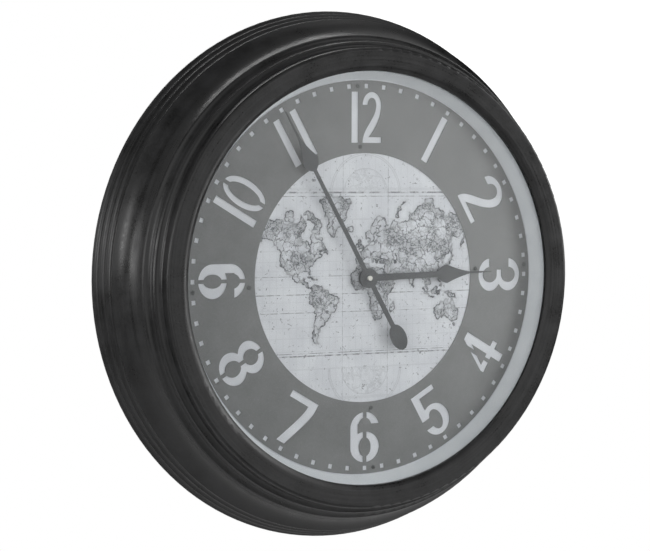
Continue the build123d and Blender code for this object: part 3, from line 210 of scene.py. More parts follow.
# Coasts as pairs of longitude and latitude in degrees
shores = {
    "north_america": [
        -168, 66, -162, 70, -156, 71, -148, 70, -141, 70, -134, 69, -128, 70, -122, 70, -115, 68,
        -108, 68, -101, 68, -95, 69, -94, 72, -90, 70, -86, 68, -88, 65, -94, 61, -94, 58, -88, 57,
        -82, 55, -80, 52, -79, 55, -77, 57, -78, 62, -73, 62, -69, 59, -65, 60, -62, 57, -57, 53, -60, 50,
        -66, 50, -65, 47, -61, 46, -66, 44, -70, 43, -71, 41, -74, 40, -76, 36, -81, 32, -80, 27,
        -81, 25.5, -83, 29, -89, 30, -94, 29.5, -97, 27, -98, 22, -95, 18.5, -91, 18.5, -90, 21, -87, 21,
        -88, 17, -84, 16, -83.5, 11, -80, 9, -77.5, 8.5, -78.5, 7.5, -83, 8.5, -86, 11.5, -91, 14,
        -95, 16, -101, 17.5, -105.5, 20.5, -106, 23.5, -110, 27.5, -113, 31, -114.5, 31.5, -112, 27.5,
        -109.7, 23.2, -112, 25.5, -115, 29, -117, 32.5, -121, 35, -124, 40, -124, 47, -123, 49,
        -128, 51.5, -131, 55, -136, 58.5, -144, 60, -149, 60, -152, 59, -157, 56.5, -164, 54.5,
        -159, 58.5, -162, 59, -166, 61.5, -161, 64.5],
    "baffin": [
        -66, 62, -65, 65.5, -62, 67, -68, 70, -76, 72.5, -85, 73.5, -89, 72, -84, 70, -78, 69.5,
        -73, 67.5, -73, 64.5, -78, 64.5, -74, 63],
    "victoria": [-116, 69, -105, 69, -105, 73, -115, 73.3, -118, 71],
    "newfoundland": [-59, 48, -53.5, 46.8, -53, 48.7, -56, 51.5, -58, 50],
    "greenland": [
        -45, 60, -51, 63, -54, 67, -52, 70, -56, 73, -61, 76, -66, 77, -57, 78.2, -34, 78.4, -20, 77.6,
        -20, 75, -24, 71, -30, 68.3, -38, 66, -42, 62],
    "iceland": [-24, 65.5, -22, 64, -18, 63.5, -14, 65, -16, 66.5, -21, 66],
    "cuba": [-84.5, 22, -80, 23, -75, 20.7, -77.5, 20, -82, 22.3],
    "hispaniola": [-74, 19.8, -69, 19.5, -69, 18.3, -74, 18.2],
    "south_america": [
        -77.5, 8.5, -75, 11, -71.5, 12.3, -68, 11, -62, 10.7, -57, 6, -51.5, 4.3, -50, 0.5, -44.5, -2.7,
        -39, -3.3, -35, -6, -35.5, -9.5, -39, -13.5, -39.5, -19, -42, -22.8, -48, -25.5, -49, -28.8,
        -53, -33.5, -57, -34.5, -57, -38, -62, -39, -65, -41, -64, -43, -67, -46, -66, -48, -69, -51.5,
        -66, -55, -71, -54.5, -75, -51, -75, -46.5, -73, -42, -73.5, -37, -71.5, -31, -70.3, -25,
        -70.3, -18.5, -76, -14, -79.5, -7.5, -81.2, -5, -80, -2.5, -80, 0.8, -77.3, 4],
    "africa": [
        -6, 35.8, -1, 35.7, 5, 36.8, 10.5, 37.2, 11, 34, 15, 32.3, 20, 31, 22, 32.8, 29, 31, 32.3, 31.2,
        34, 28, 35.5, 24, 37.3, 20, 39.5, 15.5, 43, 12, 44, 10.5, 51, 12, 49, 7, 45, 2, 40.5, -2.7,
        39, -6.5, 40.5, -11, 40.5, -15, 36, -19, 35.3, -23.5, 32.8, -26.5, 30.5, -31, 26, -34, 20, -34.8,
        18, -32, 15, -26.5, 14, -22, 11.8, -16, 13.6, -11, 12.2, -5.5, 9, -1, 9.5, 3.5, 6, 4.3, 2, 6.3,
        -3, 5, -8, 4.4, -12.5, 7.5, -15, 11, -17.3, 14.7, -16.3, 19, -17, 21.5, -13, 27.7, -9.7, 30.5],
    "madagascar": [49.3, -12, 50.3, -15.5, 47.5, -24.5, 45, -25.5, 43.5, -22, 44.3, -16.5, 47.5, -14.5],
    "eurasia": [
        -9, 37, -6, 36.5, -2, 37, 0, 39, 3, 42, 6, 43, 9, 44.3, 11, 42.5, 15.5, 40, 16, 38, 18.3, 40,
        13, 43.7, 13, 45.5, 16, 43.5, 19.5, 41.5, 21, 38, 23, 36.7, 24, 38, 23, 40.3, 26, 40.7, 27, 37,
        31, 36.5, 36, 36.5, 35, 32.5, 34.3, 31.2, 34.9, 29.5, 37, 25.5, 39.2, 21, 43, 16, 43.5, 12.8,
        48, 14, 54, 17, 58, 20.5, 59.7, 22.5, 56.3, 26, 51.5, 24.5, 50, 27, 48, 30, 51, 28, 56.5, 27,
        61.5, 25.2, 67, 24.8, 70, 21, 72.8, 19.5, 74, 14.5, 77.3, 8.2, 80, 13, 80.2, 15.5, 85, 20,
        89, 21.8, 91.5, 22.5, 94, 18, 97.5, 16.5, 98.5, 11, 100.3, 6, 103.5, 1.5, 103.3, 5, 100.3, 8,
        99.5, 12, 101, 13.4, 104.7, 9, 108.8, 11.5, 106, 18.5, 108, 21.5, 113.5, 22.3, 119, 25.5,
        121.8, 30, 119.5, 35, 122, 37.2, 118, 39, 121.5, 40.5, 125, 39.8, 126.5, 35, 129.2, 35.5,
        127.7, 39.5, 131, 42.8, 137, 46, 140.5, 50.5, 138, 54.3, 143, 59.3, 152, 59, 157, 61.5, 163, 62.5,
        161, 58, 156.5, 54, 157, 51, 162, 55, 164, 60, 171, 60.3, 178, 63, 180, 65, 180, 69, 171, 70,
        161, 69.7, 150, 71.5, 140, 72.7, 130, 71, 127, 73.3, 114, 74, 105, 77.5, 95, 76, 87, 75, 80, 72.5,
        73, 72.8, 69, 68.5, 66.5, 69, 55, 68.5, 46, 68, 44, 66.5, 40, 64.7, 36.5, 64, 33, 66.5, 41, 66.8,
        36, 69.3, 28, 71, 20, 70, 14, 67, 10.5, 63.7, 5, 61.5, 6, 58.2, 10.5, 59.3, 12.7, 56, 16.3, 57,
        18.8, 60, 17.3, 61.5, 22, 65.8, 25.3, 65, 21.5, 61, 28, 60.3, 24, 59.3, 21.5, 57.3, 19, 54.5,
        14, 54, 10.8, 54.3, 10.3, 57.5, 8.3, 56.5, 8.8, 54, 4.5, 52.3, 1.5, 50.2, -1.5, 49, -4.7, 48.4,
        -1.3, 46, -1.8, 43.4, -8.5, 43.5],
    "britain": [
        -5.5, 50.2, 1.3, 51.2, 1.5, 52.7, 0, 53.5, -1.5, 55, -2, 57.6, -5, 58.5, -6, 56.5, -3, 54.3,
        -4.6, 53, -5, 51.8],
    "ireland": [-10, 52, -6.3, 52.3, -6, 54.5, -8.5, 55, -10, 53.8],
    "novaya_zemlya": [52, 71, 57.5, 70.8, 55.5, 73, 60, 75.5, 68, 76.7, 57, 75],
    "honshu": [
        130, 33, 131, 31.3, 132.3, 33.5, 136, 33.6, 140, 35.3, 141.8, 39.5, 141.2, 41.4, 140, 40, 138, 37,
        135.5, 35.6, 131, 34.4],
    "hokkaido": [140.5, 42, 143.5, 42.3, 145, 43.8, 142, 45.3, 141.3, 43.2],
    "sakhalin": [142, 46, 143.5, 49, 143, 54, 142, 53, 142, 49],
    "taiwan": [120.3, 22.5, 121, 22, 122, 25, 121, 25],
    "ceylon": [80, 9.5, 81.8, 7.5, 80.8, 6, 79.8, 7.5],
    "luzon": [120, 16, 121, 18.5, 122.3, 18.3, 121.5, 14.5, 124, 13, 121, 13.8],
    "mindanao": [122, 7, 125.5, 5.8, 126.3, 8, 125, 9.7, 123.5, 8.5],
    "sumatra": [95.3, 5.5, 98, 4, 103.5, -1, 106, -5.8, 102, -4, 98.5, 1.5],
    "java": [105.2, -6.6, 108.5, -6.6, 112.5, -6.8, 114.5, -8, 110, -8.1, 106.5, -7.3],
    "borneo": [109, 1.5, 113, 3.2, 117, 7, 119, 5, 117.5, 1, 116, -4, 110.5, -3, 109, 0],
    "celebes": [
        119.5, 0.5, 125, 1.5, 121, 0.5, 123, -1, 121.5, -2, 122.5, -5, 120.3, -3, 119.5, -5.5, 119, -3],
    "new_guinea": [
        131, -1, 134, -1, 138, -1.8, 145, -4.3, 148, -8.5, 150.5, -10.5, 144, -8, 138.5, -8.2, 135, -4.5,
        132.5, -3.5],
    "australia": [
        114, -22, 114, -26.5, 115.7, -32, 118, -35, 124, -33.2, 129, -31.6, 132.5, -32, 135.5, -34.8,
        138, -33, 140, -37.5, 144, -38.5, 147, -38.2, 150, -37.3, 152.8, -32, 153.5, -28, 151, -24,
        146.5, -19, 145.3, -15, 142.5, -10.7, 141.5, -14, 140.5, -17.5, 136, -15.5, 136.5, -12,
        132, -11.3, 129.5, -14.8, 125.5, -14, 122.2, -18, 117, -20.7],
    "tasmania": [144.7, -40.8, 148.3, -41, 147, -43.6, 145.5, -42.8],
}
inland_seas = {
    "black_sea": [
        28, 42, 31, 41.3, 36, 41.5, 41.5, 41.7, 38, 44.4, 36.5, 45.3, 33.5, 44.5, 31, 46.5, 28.7, 44],
    "caspian": [47.5, 45.5, 49, 41.5, 50, 37.3, 53.8, 37, 53, 40, 51, 44.5, 53, 46.5, 50, 46.5],
    "great_lakes": [
        -92, 46.7, -87, 48.5, -84.5, 46.5, -80, 45, -79, 43.3, -83, 42, -84, 45.5, -87, 42, -87.5, 46],
}
chance = np.random.default_rng(7)


def coast(numbers):
    """Closed coast on the sheet from pairs of degrees. Each pass puts a point at the middle of every stretch,
    moved square to it by a random share of its length, so that the straight stretches turn ragged."""
    line = on_sheet(*np.array(numbers, float).reshape(-1, 2).T)
    for ragged in (0.18, 0.18, 0.17):
        run = np.roll(line, -1, 0) - line
        middle = line + run / 2 + run[:, ::-1] * (1, -1) * chance.normal(0, ragged, (len(line), 1))
        line = np.stack([line, middle], 1).reshape(-1, 2)
    return line


def depth_inland(points, line, margin):
    """Signed distance of each point from a closed line: the least distance to its stretches, positive where
    a ray along x crosses it an odd number of times. Points beyond the margin keep minus the margin."""
    inland = np.full(len(points), -margin)
    near = np.all((points > line.min(0) - margin) & (points < line.max(0) + margin), 1)
    spot = points[near][:, None]
    run = np.roll(line, -1, 0) - line
    step = spot - line
    share = np.clip((step * run).sum(-1) / (run * run).sum(-1), 0, 1)
    gap = np.sqrt((((step - share[..., None] * run)) ** 2).sum(-1)).min(1)
    ends = line + run
    crosses = (line[:, 1] > spot[..., 1]) != (ends[:, 1] > spot[..., 1])
    rise = np.where(run[:, 1] == 0, 1, run[:, 1])
    crossing = line[:, 0] + run[:, 0] * (spot[..., 1] - line[:, 1]) / rise
    odd = (crosses & (spot[..., 0] < crossing)).sum(1) % 2 == 1
    inland[near] = np.clip(np.where(odd, gap, -gap), -margin, margin)
    return inland


def disc(steps, reach):
    """Square grid of steps u, v from -1 to 1 drawn out to a disc:
    x = u sqrt(1 - v v / 2), z = v sqrt(1 - u u / 2). Also gives its faces and its edge loop."""
    u, v = np.meshgrid(steps, steps, indexing="ij")
    x = u * np.sqrt(1 - v * v / 2)
    z = v * np.sqrt(1 - u * u / 2)
    cell = np.arange(u.size).reshape(u.shape)
    faces = np.stack([cell[:-1, :-1], cell[1:, :-1], cell[1:, 1:], cell[:-1, 1:]], -1).reshape(-1, 4)
    edge = np.concatenate([cell[:-1, 0], cell[-1, :-1], cell[:0:-1, -1], cell[0, :0:-1]])
    return reach * np.stack([x.ravel(), z.ravel()], -1), faces, edge


def bridge(inner, outer):
    """Band of four-cornered faces between two loops of points that run the same way."""
    return np.stack([inner, outer, np.roll(outer, -1), np.roll(inner, -1)], -1)


def make(name, points, faces, material, body):
    """Mesh piece at the origin that rides on a body and takes the material it is given."""
    mesh = bpy.data.meshes.new(name)
    mesh.from_pydata(points.tolist(), [], faces)
    mesh.materials.append(material)
    piece = bpy.data.objects.new(name, mesh)
    bpy.context.scene.collection.objects.link(piece)
    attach(piece, body)
    return piece


MARGIN = 0.006
MAP_STEPS = 211
BUSH_HOLE = 0.0055
low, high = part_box("map_sheet")
flat_points, map_faces, edge = disc(np.linspace(-1, 1, MAP_STEPS), MAP_EDGE)
inland = np.full(len(flat_points), -MARGIN)
for numbers in shores.values():
    inland = np.maximum(inland, depth_inland(flat_points, coast(numbers), MARGIN))
for numbers in inland_seas.values():
    inland = np.minimum(inland, -depth_inland(flat_points, coast(numbers), MARGIN))
rim_points = flat_points[edge] * high.x / MAP_EDGE
outer_loop = len(flat_points) + np.arange(len(edge))
faces = np.concatenate([map_faces, bridge(edge, outer_loop)])
flat_points = np.concatenate([flat_points, rim_points])
inland = np.concatenate([inland, np.full(len(edge), -MARGIN)])
faces = faces[np.hypot(*flat_points[faces].mean(1).T) > BUSH_HOLE]
points = np.stack([flat_points[:, 0], np.full(len(flat_points), low.y), flat_points[:, 1]], -1)

# Uncoated paper is matt, and the ink sinks in as a soft dark grey
paper, shader = finish_of("pale_printed_paper", {"Roughness": 0.6, "IOR": 1.45, "Specular IOR Level": 0.3})
place = add(paper, "ShaderNodeSeparateXYZ", (add(paper, "ShaderNodeTexCoord", {}).outputs["Object"],)).outputs
sheet = add(paper, "ShaderNodeCombineXYZ", {"X": place["X"], "Y": place["Z"]}).outputs[0]
MILLIMETRES = 1000.0
stored = add(paper, "ShaderNodeAttribute", {}, attribute_name="inland").outputs["Fac"]
inland_mm = add(paper, "ShaderNodeMath", (stored, MILLIMETRES), operation="MULTIPLY").outputs[0]
tens = add(paper, "ShaderNodeUVMap", {}, uv_map="tens_of_degrees").outputs[0]
world_place = add(paper, "ShaderNodeSeparateXYZ", (tens,)).outputs
# The print's unevenness, each by its width in metres and its fineness
UNEVENNESS = {"tremble": (0.004, 3.0), "fading": (0.011, 3.0), "waver": (0.006, 3.0), "ground": (0.010, 4.0),
              "region": (0.024, 3.0), "wear": (0.007, 4.0), "tooth": (0.0013, 3.0), "stain": (0.035, 6.0)}
uneven = {}
for name, (width, fineness) in UNEVENNESS.items():
    grain = {"Vector": sheet, "Scale": 1 / width, "Detail": fineness}
    uneven[name] = add(paper, "ShaderNodeTexNoise", grain, noise_dimensions="2D").outputs

# Lines are drawn about 1 mm wide, coarser than an engraver's, so that they show at the dial's size
land = add(paper, "ShaderNodeMath", (inland_mm, 0.0), operation="GREATER_THAN").outputs[0]
sea = add(paper, "ShaderNodeMath", (inland_mm, 0.0), operation="LESS_THAN").outputs[0]
tremble = add(paper, "ShaderNodeMapRange", (uneven["tremble"][0], 0.3, 0.7, 0.25, 0.75)).outputs[0]
from_shore = add(paper, "ShaderNodeMath", (inland_mm,), operation="ABSOLUTE").outputs[0]
off_line = add(paper, "ShaderNodeMath", (from_shore, tremble), operation="SUBTRACT").outputs[0]
shore_line = add(paper, "ShaderNodeMapRange", (off_line, -0.1, 0.35, 1.0, 0.0)).outputs[0]
fading = add(paper, "ShaderNodeMapRange", (uneven["fading"][0], 0.36, 0.56, 0.5, 1.0)).outputs[0]
shore_line = add(paper, "ShaderNodeMath", (shore_line, fading), operation="MULTIPLY").outputs[0]
# Water lines follow the shore at 1.1 mm steps and fade within 5 mm
WATER_LINE_HALF_STEP, WATER_LINE_WIDTH = 0.55, 0.22
ripple = add(paper, "ShaderNodeMath", (inland_mm, WATER_LINE_HALF_STEP), operation="PINGPONG").outputs[0]
water_line = add(paper, "ShaderNodeMath", (ripple, WATER_LINE_WIDTH), operation="LESS_THAN").outputs[0]
offshore = add(paper, "ShaderNodeMapRange", (inland_mm, -5.0, 0.0, 0.0, 0.42)).outputs[0]
for limit in (offshore, sea):
    water_line = add(paper, "ShaderNodeMath", (water_line, limit), operation="MULTIPLY").outputs[0]
# Provinces about 12 mm across with wavering bounds
PROVINCE_WIDTH, WAVER = 0.012, (0.011, 0.011, 0.0)
waver = add(paper, "ShaderNodeVectorMath", (uneven["waver"]["Color"], WAVER), operation="MULTIPLY").outputs[0]
waved = add(paper, "ShaderNodeVectorMath", (sheet, waver), operation="ADD").outputs[0]
province = add(paper, "ShaderNodeTexVoronoi", {"Vector": waved, "Scale": 1 / PROVINCE_WIDTH},
               feature="DISTANCE_TO_EDGE", voronoi_dimensions="2D").outputs["Distance"]
bound = add(paper, "ShaderNodeMapRange", (province, 0.025, 0.075, 0.85, 0.0)).outputs[0]
# Hills and rivers: middle lines of two noises 10 mm wide, bold in some regions and faint in others
MIDDLE, LINE_HALF = 0.5, 0.024
ground = add(paper, "ShaderNodeSeparateColor", (uneven["ground"]["Color"],)).outputs
hill = 0.0
for field in ("Red", "Green"):
    line = add(paper, "ShaderNodeMath", (ground[field], MIDDLE, LINE_HALF), operation="COMPARE").outputs[0]
    hill = add(paper, "ShaderNodeMath", (line, hill), operation="MAXIMUM").outputs[0]
region = uneven["region"][0]
boldness = add(paper, "ShaderNodeMapRange", (region, 0.40, 0.6, 0.22, 0.9)).outputs[0]
hill = add(paper, "ShaderNodeMath", (hill, boldness), operation="MULTIPLY").outputs[0]
# A hand-laid tint hugs the inside of every coast and thins out 6 mm inland
patches = add(paper, "ShaderNodeMapRange", (region, 0.40, 0.62, 0.0, 0.34)).outputs[0]
hugging = add(paper, "ShaderNodeMapRange", (inland_mm, 0.0, 6.0, 0.26, 0.02)).outputs[0]
wash = add(paper, "ShaderNodeMath", (patches, hugging), operation="ADD").outputs[0]
drawn = add(paper, "ShaderNodeMath", (bound, hill), operation="MAXIMUM").outputs[0]
inked = add(paper, "ShaderNodeMath", (drawn, wash), operation="MAXIMUM").outputs[0]
inked = add(paper, "ShaderNodeMath", (inked, land), operation="MULTIPLY").outputs[0]
# Soundings and islets: marks about 1.2 mm wide, 5 mm apart, in about half of the places and mostly faint
MARK_SPACING = 0.005
cells = {"Vector": waved, "Scale": 1 / MARK_SPACING}
cells = add(paper, "ShaderNodeTexVoronoi", cells, voronoi_dimensions="2D").outputs
chosen = add(paper, "ShaderNodeSeparateColor", (cells["Color"],)).outputs[0]
chosen = add(paper, "ShaderNodeMapRange", (chosen, 0.5, 0.95, 0.0, 0.85)).outputs[0]
marks = add(paper, "ShaderNodeMapRange", (cells["Distance"], 0.08, 0.18, 1.0, 0.0)).outputs[0]
marks = add(paper, "ShaderNodeMath", (marks, chosen), operation="MULTIPLY").outputs[0]
layers = [shore_line, water_line, marks]
# Fine net of meridians and parallels every ten degrees
for axis in ("X", "Y"):
    off_net = add(paper, "ShaderNodeMath", (world_place[axis], 0.5), operation="PINGPONG").outputs[0]
    layers.append(add(paper, "ShaderNodeMapRange", (off_net, 0.02, 0.05, 0.10, 0.0)).outputs[0])
# Heavier rules, worn into dashes: axis, place and half width, both in tens of degrees
HEAVY_RULES = (("Y", 0.0, 0.055), ("Y", 2.34, 0.03), ("Y", -2.34, 0.035), ("Y", 7.92, 0.020),
               ("Y", 7.82, 0.008), ("Y", -6.30, 0.040), ("Y", -6.14, 0.020), ("X", 4.0, 0.03),
               ("X", -3.0, 0.025))
worn = add(paper, "ShaderNodeMapRange", (uneven["wear"][0], 0.38, 0.56, 0.12, 0.75)).outputs[0]
for axis, tens, half in HEAVY_RULES:
    rule = add(paper, "ShaderNodeMath", (world_place[axis], tens, half), operation="COMPARE").outputs[0]
    layers.append(add(paper, "ShaderNodeMath", (rule, worn), operation="MULTIPLY").outputs[0])
# A polar view in a ring of three circles stands above the upper border and below the lower one.
# Each has the height of its centre, on which side it is drawn, and its circles' radii in metres.
POLAR_VIEWS = ((0.094, "GREATER_THAN", (0.028, 0.043, 0.045)), (-0.100, "LESS_THAN", (0.030, 0.045, 0.047)))
POLAR_LAND, POLAR_CIRCLE, CIRCLE_HALF = 0.22, 0.20, 0.0005
for height, side, radii in POLAR_VIEWS:
    centre = (0.0, height, 0.0)
    toward = add(paper, "ShaderNodeVectorMath", (sheet, centre), operation="DISTANCE").outputs["Value"]
    beyond = add(paper, "ShaderNodeMath", (place["Z"], height), operation=side).outputs[0]
    within = add(paper, "ShaderNodeMath", (toward, radii[0]), operation="LESS_THAN").outputs[0]
    scribble = drawn
    for limit in (within, beyond, POLAR_LAND):
        scribble = add(paper, "ShaderNodeMath", (scribble, limit), operation="MULTIPLY").outputs[0]
    layers.append(scribble)
    for radius in radii:
        circle = add(paper, "ShaderNodeMath", (toward, radius, CIRCLE_HALF), operation="COMPARE").outputs[0]
        for limit in (beyond, POLAR_CIRCLE):
            circle = add(paper, "ShaderNodeMath", (circle, limit), operation="MULTIPLY").outputs[0]
        layers.append(circle)
for layer in layers:
    inked = add(paper, "ShaderNodeMath", (inked, layer), operation="MAXIMUM").outputs[0]
# The print ends at the ring. Its ink is worn in specks, and the bare paper has stains and a fine tooth.
TOOTH_DEPTH = 0.00003
tooth = uneven["tooth"][0]
reach = add(paper, "ShaderNodeVectorMath", (sheet,), operation="LENGTH").outputs["Value"]
printed = add(paper, "ShaderNodeMath", (reach, MAP_EDGE), operation="LESS_THAN").outputs[0]
specks = add(paper, "ShaderNodeMapRange", (tooth, 0.3, 0.55, 0.6, 1.0)).outputs[0]
for limit in (printed, specks):
    inked = add(paper, "ShaderNodeMath", (inked, limit), operation="MULTIPLY").outputs[0]
stain = add(paper, "ShaderNodeMapRange", (uneven["stain"][0], 0.3, 0.7, 0.0, 1.0)).outputs[0]
ends = {0: stain, 6: linear("#dddfe4"), 7: linear("#e9ebef")}
bare = add(paper, "ShaderNodeMix", ends, data_type="RGBA").outputs[2]
ends = {0: inked, 6: bare, 7: linear("#3f4246")}
colour = add(paper, "ShaderNodeMix", ends, data_type="RGBA").outputs[2]
skin = add(paper, "ShaderNodeBump", {"Height": tooth, "Strength": 0.15, "Distance": TOOTH_DEPTH}).outputs[0]
feed(paper, shader, {"Base Color": colour, "Normal": skin})

printed_map = make("printed_map", points, faces.tolist(), paper, "case")
mesh = printed_map.data
mesh.attributes.new("inland", "FLOAT", "POINT").data.foreach_set("value", inland.astype(np.float32))
corner = np.zeros(len(mesh.loops), int)
mesh.loops.foreach_get("vertex_index", corner)
east = flat_points[:, 0] / DEGREE + HUB_LONGITUDE
stretch = np.exp((flat_points[:, 1] - EQUATOR_HEIGHT) / np.degrees(DEGREE))
north = np.degrees(2 * np.arctan(stretch) - np.pi / 2)
world_tens = np.stack([east, north], -1)[corner] / 10
mesh.uv_layers.new(name="tens_of_degrees").data.foreach_set("uv", world_tens.astype(np.float32).ravel())
thickness = printed_map.modifiers.new("paper_thickness", "SOLIDIFY")
thickness.thickness = high.y - low.y
thickness.offset = -1
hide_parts("map_sheet")

# Chapter ring: steel sheet 0.8 mm thick, cut through by laser and sprayed in a warm grey.
# Eight small screws with painted pan heads hold it down on the paper.
# Sprayed paint is satin and slightly grainy
grey_paint = grained("warm_grey_paint_on_steel", "#767777", "#828383", 0.0018, (0.38, 0.52), 0.00003,
                     {"IOR": 1.5})
dress(grey_paint, "chapter_ring")


def cross_screws(name, places, facing, seat, tip, head, shank, material):
    """Pan-head screws, one at each place. A disc grid is lifted to a dome,
    h = H (0.55 + 0.45 sqrt(1 - r r)), and sunk inside the two arms of a cross. Its edge is carried down to
    the seat and along the shank to the tip. Facing is 1 for heads seen from the front, -1 from behind."""
    reach, height = head
    rim_height, arm_half, arm_reach, cross_floor = 0.55, 0.14, 0.58, 0.35
    # Grid lines stand close on both sides of the cross's walls
    steps = np.array([0.06, 0.13, 0.15, 0.3, 0.45, 0.57, 0.59, 0.72, 0.84, 0.94, 1.0])
    steps = np.concatenate([-steps[::-1], steps])
    flat, faces, edge = disc(steps, 1.0)
    u, v = np.abs(np.meshgrid(steps, steps, indexing="ij")).reshape(2, -1)
    dome = rim_height + (1 - rim_height) * np.sqrt(np.clip(1 - (flat ** 2).sum(1), 0, 1))
    cross = (np.minimum(u, v) < arm_half) & (np.maximum(u, v) < arm_reach)
    rise = np.where(cross, cross_floor, dome) * height
    top = np.column_stack([flat[:, 0] * reach, rise, flat[:, 1] * reach])
    rings = [np.column_stack([flat[edge, 0] * r, np.full(len(edge), h), flat[edge, 1] * r])
             for r, h in ((reach, 0.0), (shank, 0.0), (shank, -abs(tip - seat)))]
    one = np.concatenate([top, *rings])
    loops = [edge] + [len(top) + len(edge) * k + np.arange(len(edge)) for k in range(len(rings))]
    faces = np.concatenate([faces] + [bridge(a, b) for a, b in zip(loops, loops[1:])])
    one = one * (facing, -facing, 1)
    centres = np.array([(x, seat, z) for x, z in places])
    points = (centres[:, None] + one).reshape(-1, 3)
    shift = len(one) * np.arange(len(places))
    quads = (shift[:, None, None] + faces).reshape(-1, 4).tolist()
    ends = (shift[:, None] + loops[-1]).tolist()
    return make(name, points, quads + ends, material, "case")


def ring_of(radius, angles):
    """Places on a circle at clock angles in degrees, as pairs of x and z."""
    turn = np.radians(angles)
    return np.stack([radius * np.sin(turn), radius * np.cos(turn)], -1)


RING_SCREW_HEAD, RING_SCREW_SHANK = (0.0023, 0.0012), 0.0011
RING_SCREW_CIRCLES = (0.2132, 0.1460)
RING_SCREW_ANGLES = np.arange(4) * 90 - 3
# Paint over steel darkens the heads and leaves a dull gleam
ring_screw_paint = grained("dark_painted_screw_steel", "#5f6161", "#6d6f6f", 0.0008, (0.4, 0.6), 0.00002,
                           {"Metallic": 0.2})
low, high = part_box("ring_screws")
ring_screw_places = np.concatenate([ring_of(radius, RING_SCREW_ANGLES) for radius in RING_SCREW_CIRCLES])
ring_screw_heads = cross_screws("ring_screw_heads", ring_screw_places, 1, low.y + RING_SCREW_HEAD[1], high.y,
                                RING_SCREW_HEAD, RING_SCREW_SHANK, ring_screw_paint)
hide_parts("ring_screws")

# Screws of the board and the hanger, of zinc-plated steel with pan heads, driven in from behind.
# A plated washer and a turned brass nut clamp the movement's threaded bush to the dial.
SCREW_HEAD, SCREW_SHANK = (0.0036, 0.0020), 0.0016
BOARD_SCREW_CIRCLE = 0.240
BOARD_SCREW_ANGLES = np.arange(8) * 45 + 22.5
HANGER_SCREW_PLACES = [(-0.056, 0.272), (0.056, 0.272)]
# Zinc plating is a bright, slightly cloudy silver grey
zinc = grained("zinc_plated_steel", "#a3a6a8", "#c3c5c4", 0.0012, (0.25, 0.42), 0.00002, {"Metallic": 1.0})
dress(zinc, "dial_washer")
low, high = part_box("board_screws")
board_screw_places = ring_of(BOARD_SCREW_CIRCLE, BOARD_SCREW_ANGLES)
board_screw_heads = cross_screws("board_screw_heads", board_screw_places, -1, high.y - SCREW_HEAD[1], low.y,
                                 SCREW_HEAD, SCREW_SHANK, zinc)
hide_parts("board_screws")
low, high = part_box("hanger_screws")
hanger_screw_heads = cross_screws("hanger_screw_heads", HANGER_SCREW_PLACES, -1, high.y - SCREW_HEAD[1],
                                  low.y, SCREW_HEAD, SCREW_SHANK, zinc)
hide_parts("hanger_screws")
# Turning leaves brass bright, with fine dull marks
brass = grained("turned_brass", "#b0935a", "#cdb57e", 0.001, (0.2, 0.34), 0.00002, {"Metallic": 1.0})
dress(brass, "bush_nut")

# Movement: a black moulded housing in two halves round a plastic going train, its motor and its circuit.
# Its bush holds it to the dial board, and one cell clips in at its back.
# An etched mould gives the housing an even, dull black
black_abs = grained("fine_etched_black_abs", "#161617", "#222223", 0.0007, (0.5, 0.68), 0.00005,
                    {"IOR": 1.53})
dress(black_abs, "movement_base", "movement_cover", "train_plate")
# Unpigmented acetal is milky and waxy
acetal = grained("natural_acetal", "#d9d6cb", "#e6e3d8", 0.0011, (0.35, 0.5), 0.00002, {"IOR": 1.48})
dress(acetal, "hour_wheel", "centre_wheel", "third_wheel", "seconds_wheel", "step_wheel", "minute_wheel",
      "coil_bobbin")
# Nickel plating is a warm, clean silver
nickel = grained("nickel_plated_steel", "#a9a7a0", "#c4c1b8", 0.0009, (0.22, 0.38), 0.00002,
                 {"Metallic": 1.0})
dress(nickel, "rotor", "stator", "quartz_crystal", "battery_contacts")
# Enamel deepens the copper to a red brown, and turns too fine to model show as grain 0.3 mm wide
copper = grained("enamelled_copper_wire", "#8a4b26", "#b5693a", 0.0003, (0.25, 0.4), 0.00005,
                 {"Metallic": 1.0})
dress(copper, "coil_winding")
# Green lacquer over glass cloth is smooth and half glossy
laminate = grained("green_circuit_laminate", "#24492f", "#2f5c3b", 0.001, (0.35, 0.5), 0.00003, {})
dress(laminate, "circuit_board")
# Ivory plastic stands out against the housing, so that the knob is found by eye
knob_plastic = grained("ivory_knob_plastic", "#c9c5b6", "#d6d2c4", 0.0009, (0.45, 0.6), 0.00004, {})
dress(knob_plastic, "setting_knob")
# A shrunk film jacket has a metallic blue sheen
jacket = grained("printed_cell_jacket", "#37576f", "#446681", 0.002, (0.28, 0.4), 0.00002, {"Metallic": 0.3})
dress(jacket, "battery")

# Hands: stamped from steel sheet and sprayed dark grey, each on a boss pressed over its pipe or arbor.
# A bright cap nut holds the minute hand.
# The same satin paint as the ring's, darker
hand_paint = grained("dark_grey_paint_on_steel", "#484b4d", "#555759", 0.0012, (0.38, 0.52), 0.00002,
                     {"IOR": 1.5})
dress(hand_paint, "hour_hand", "minute_hand")
# A polished nut gives one small, nearly white glint at the centre
polished = grained("polished_pale_brass", "#f6f4ea", "#fffdf6", 0.0006, (0.12, 0.22), 0.00001,
                   {"Metallic": 0.4})
dress(polished, "hand_nut")

# Hanger: a strap of steel sheet across the top of the frame's back, with a keyhole punched in its middle.
# It is zinc-plated like the two screws that fix it.
dress(zinc, "hanger_plate")

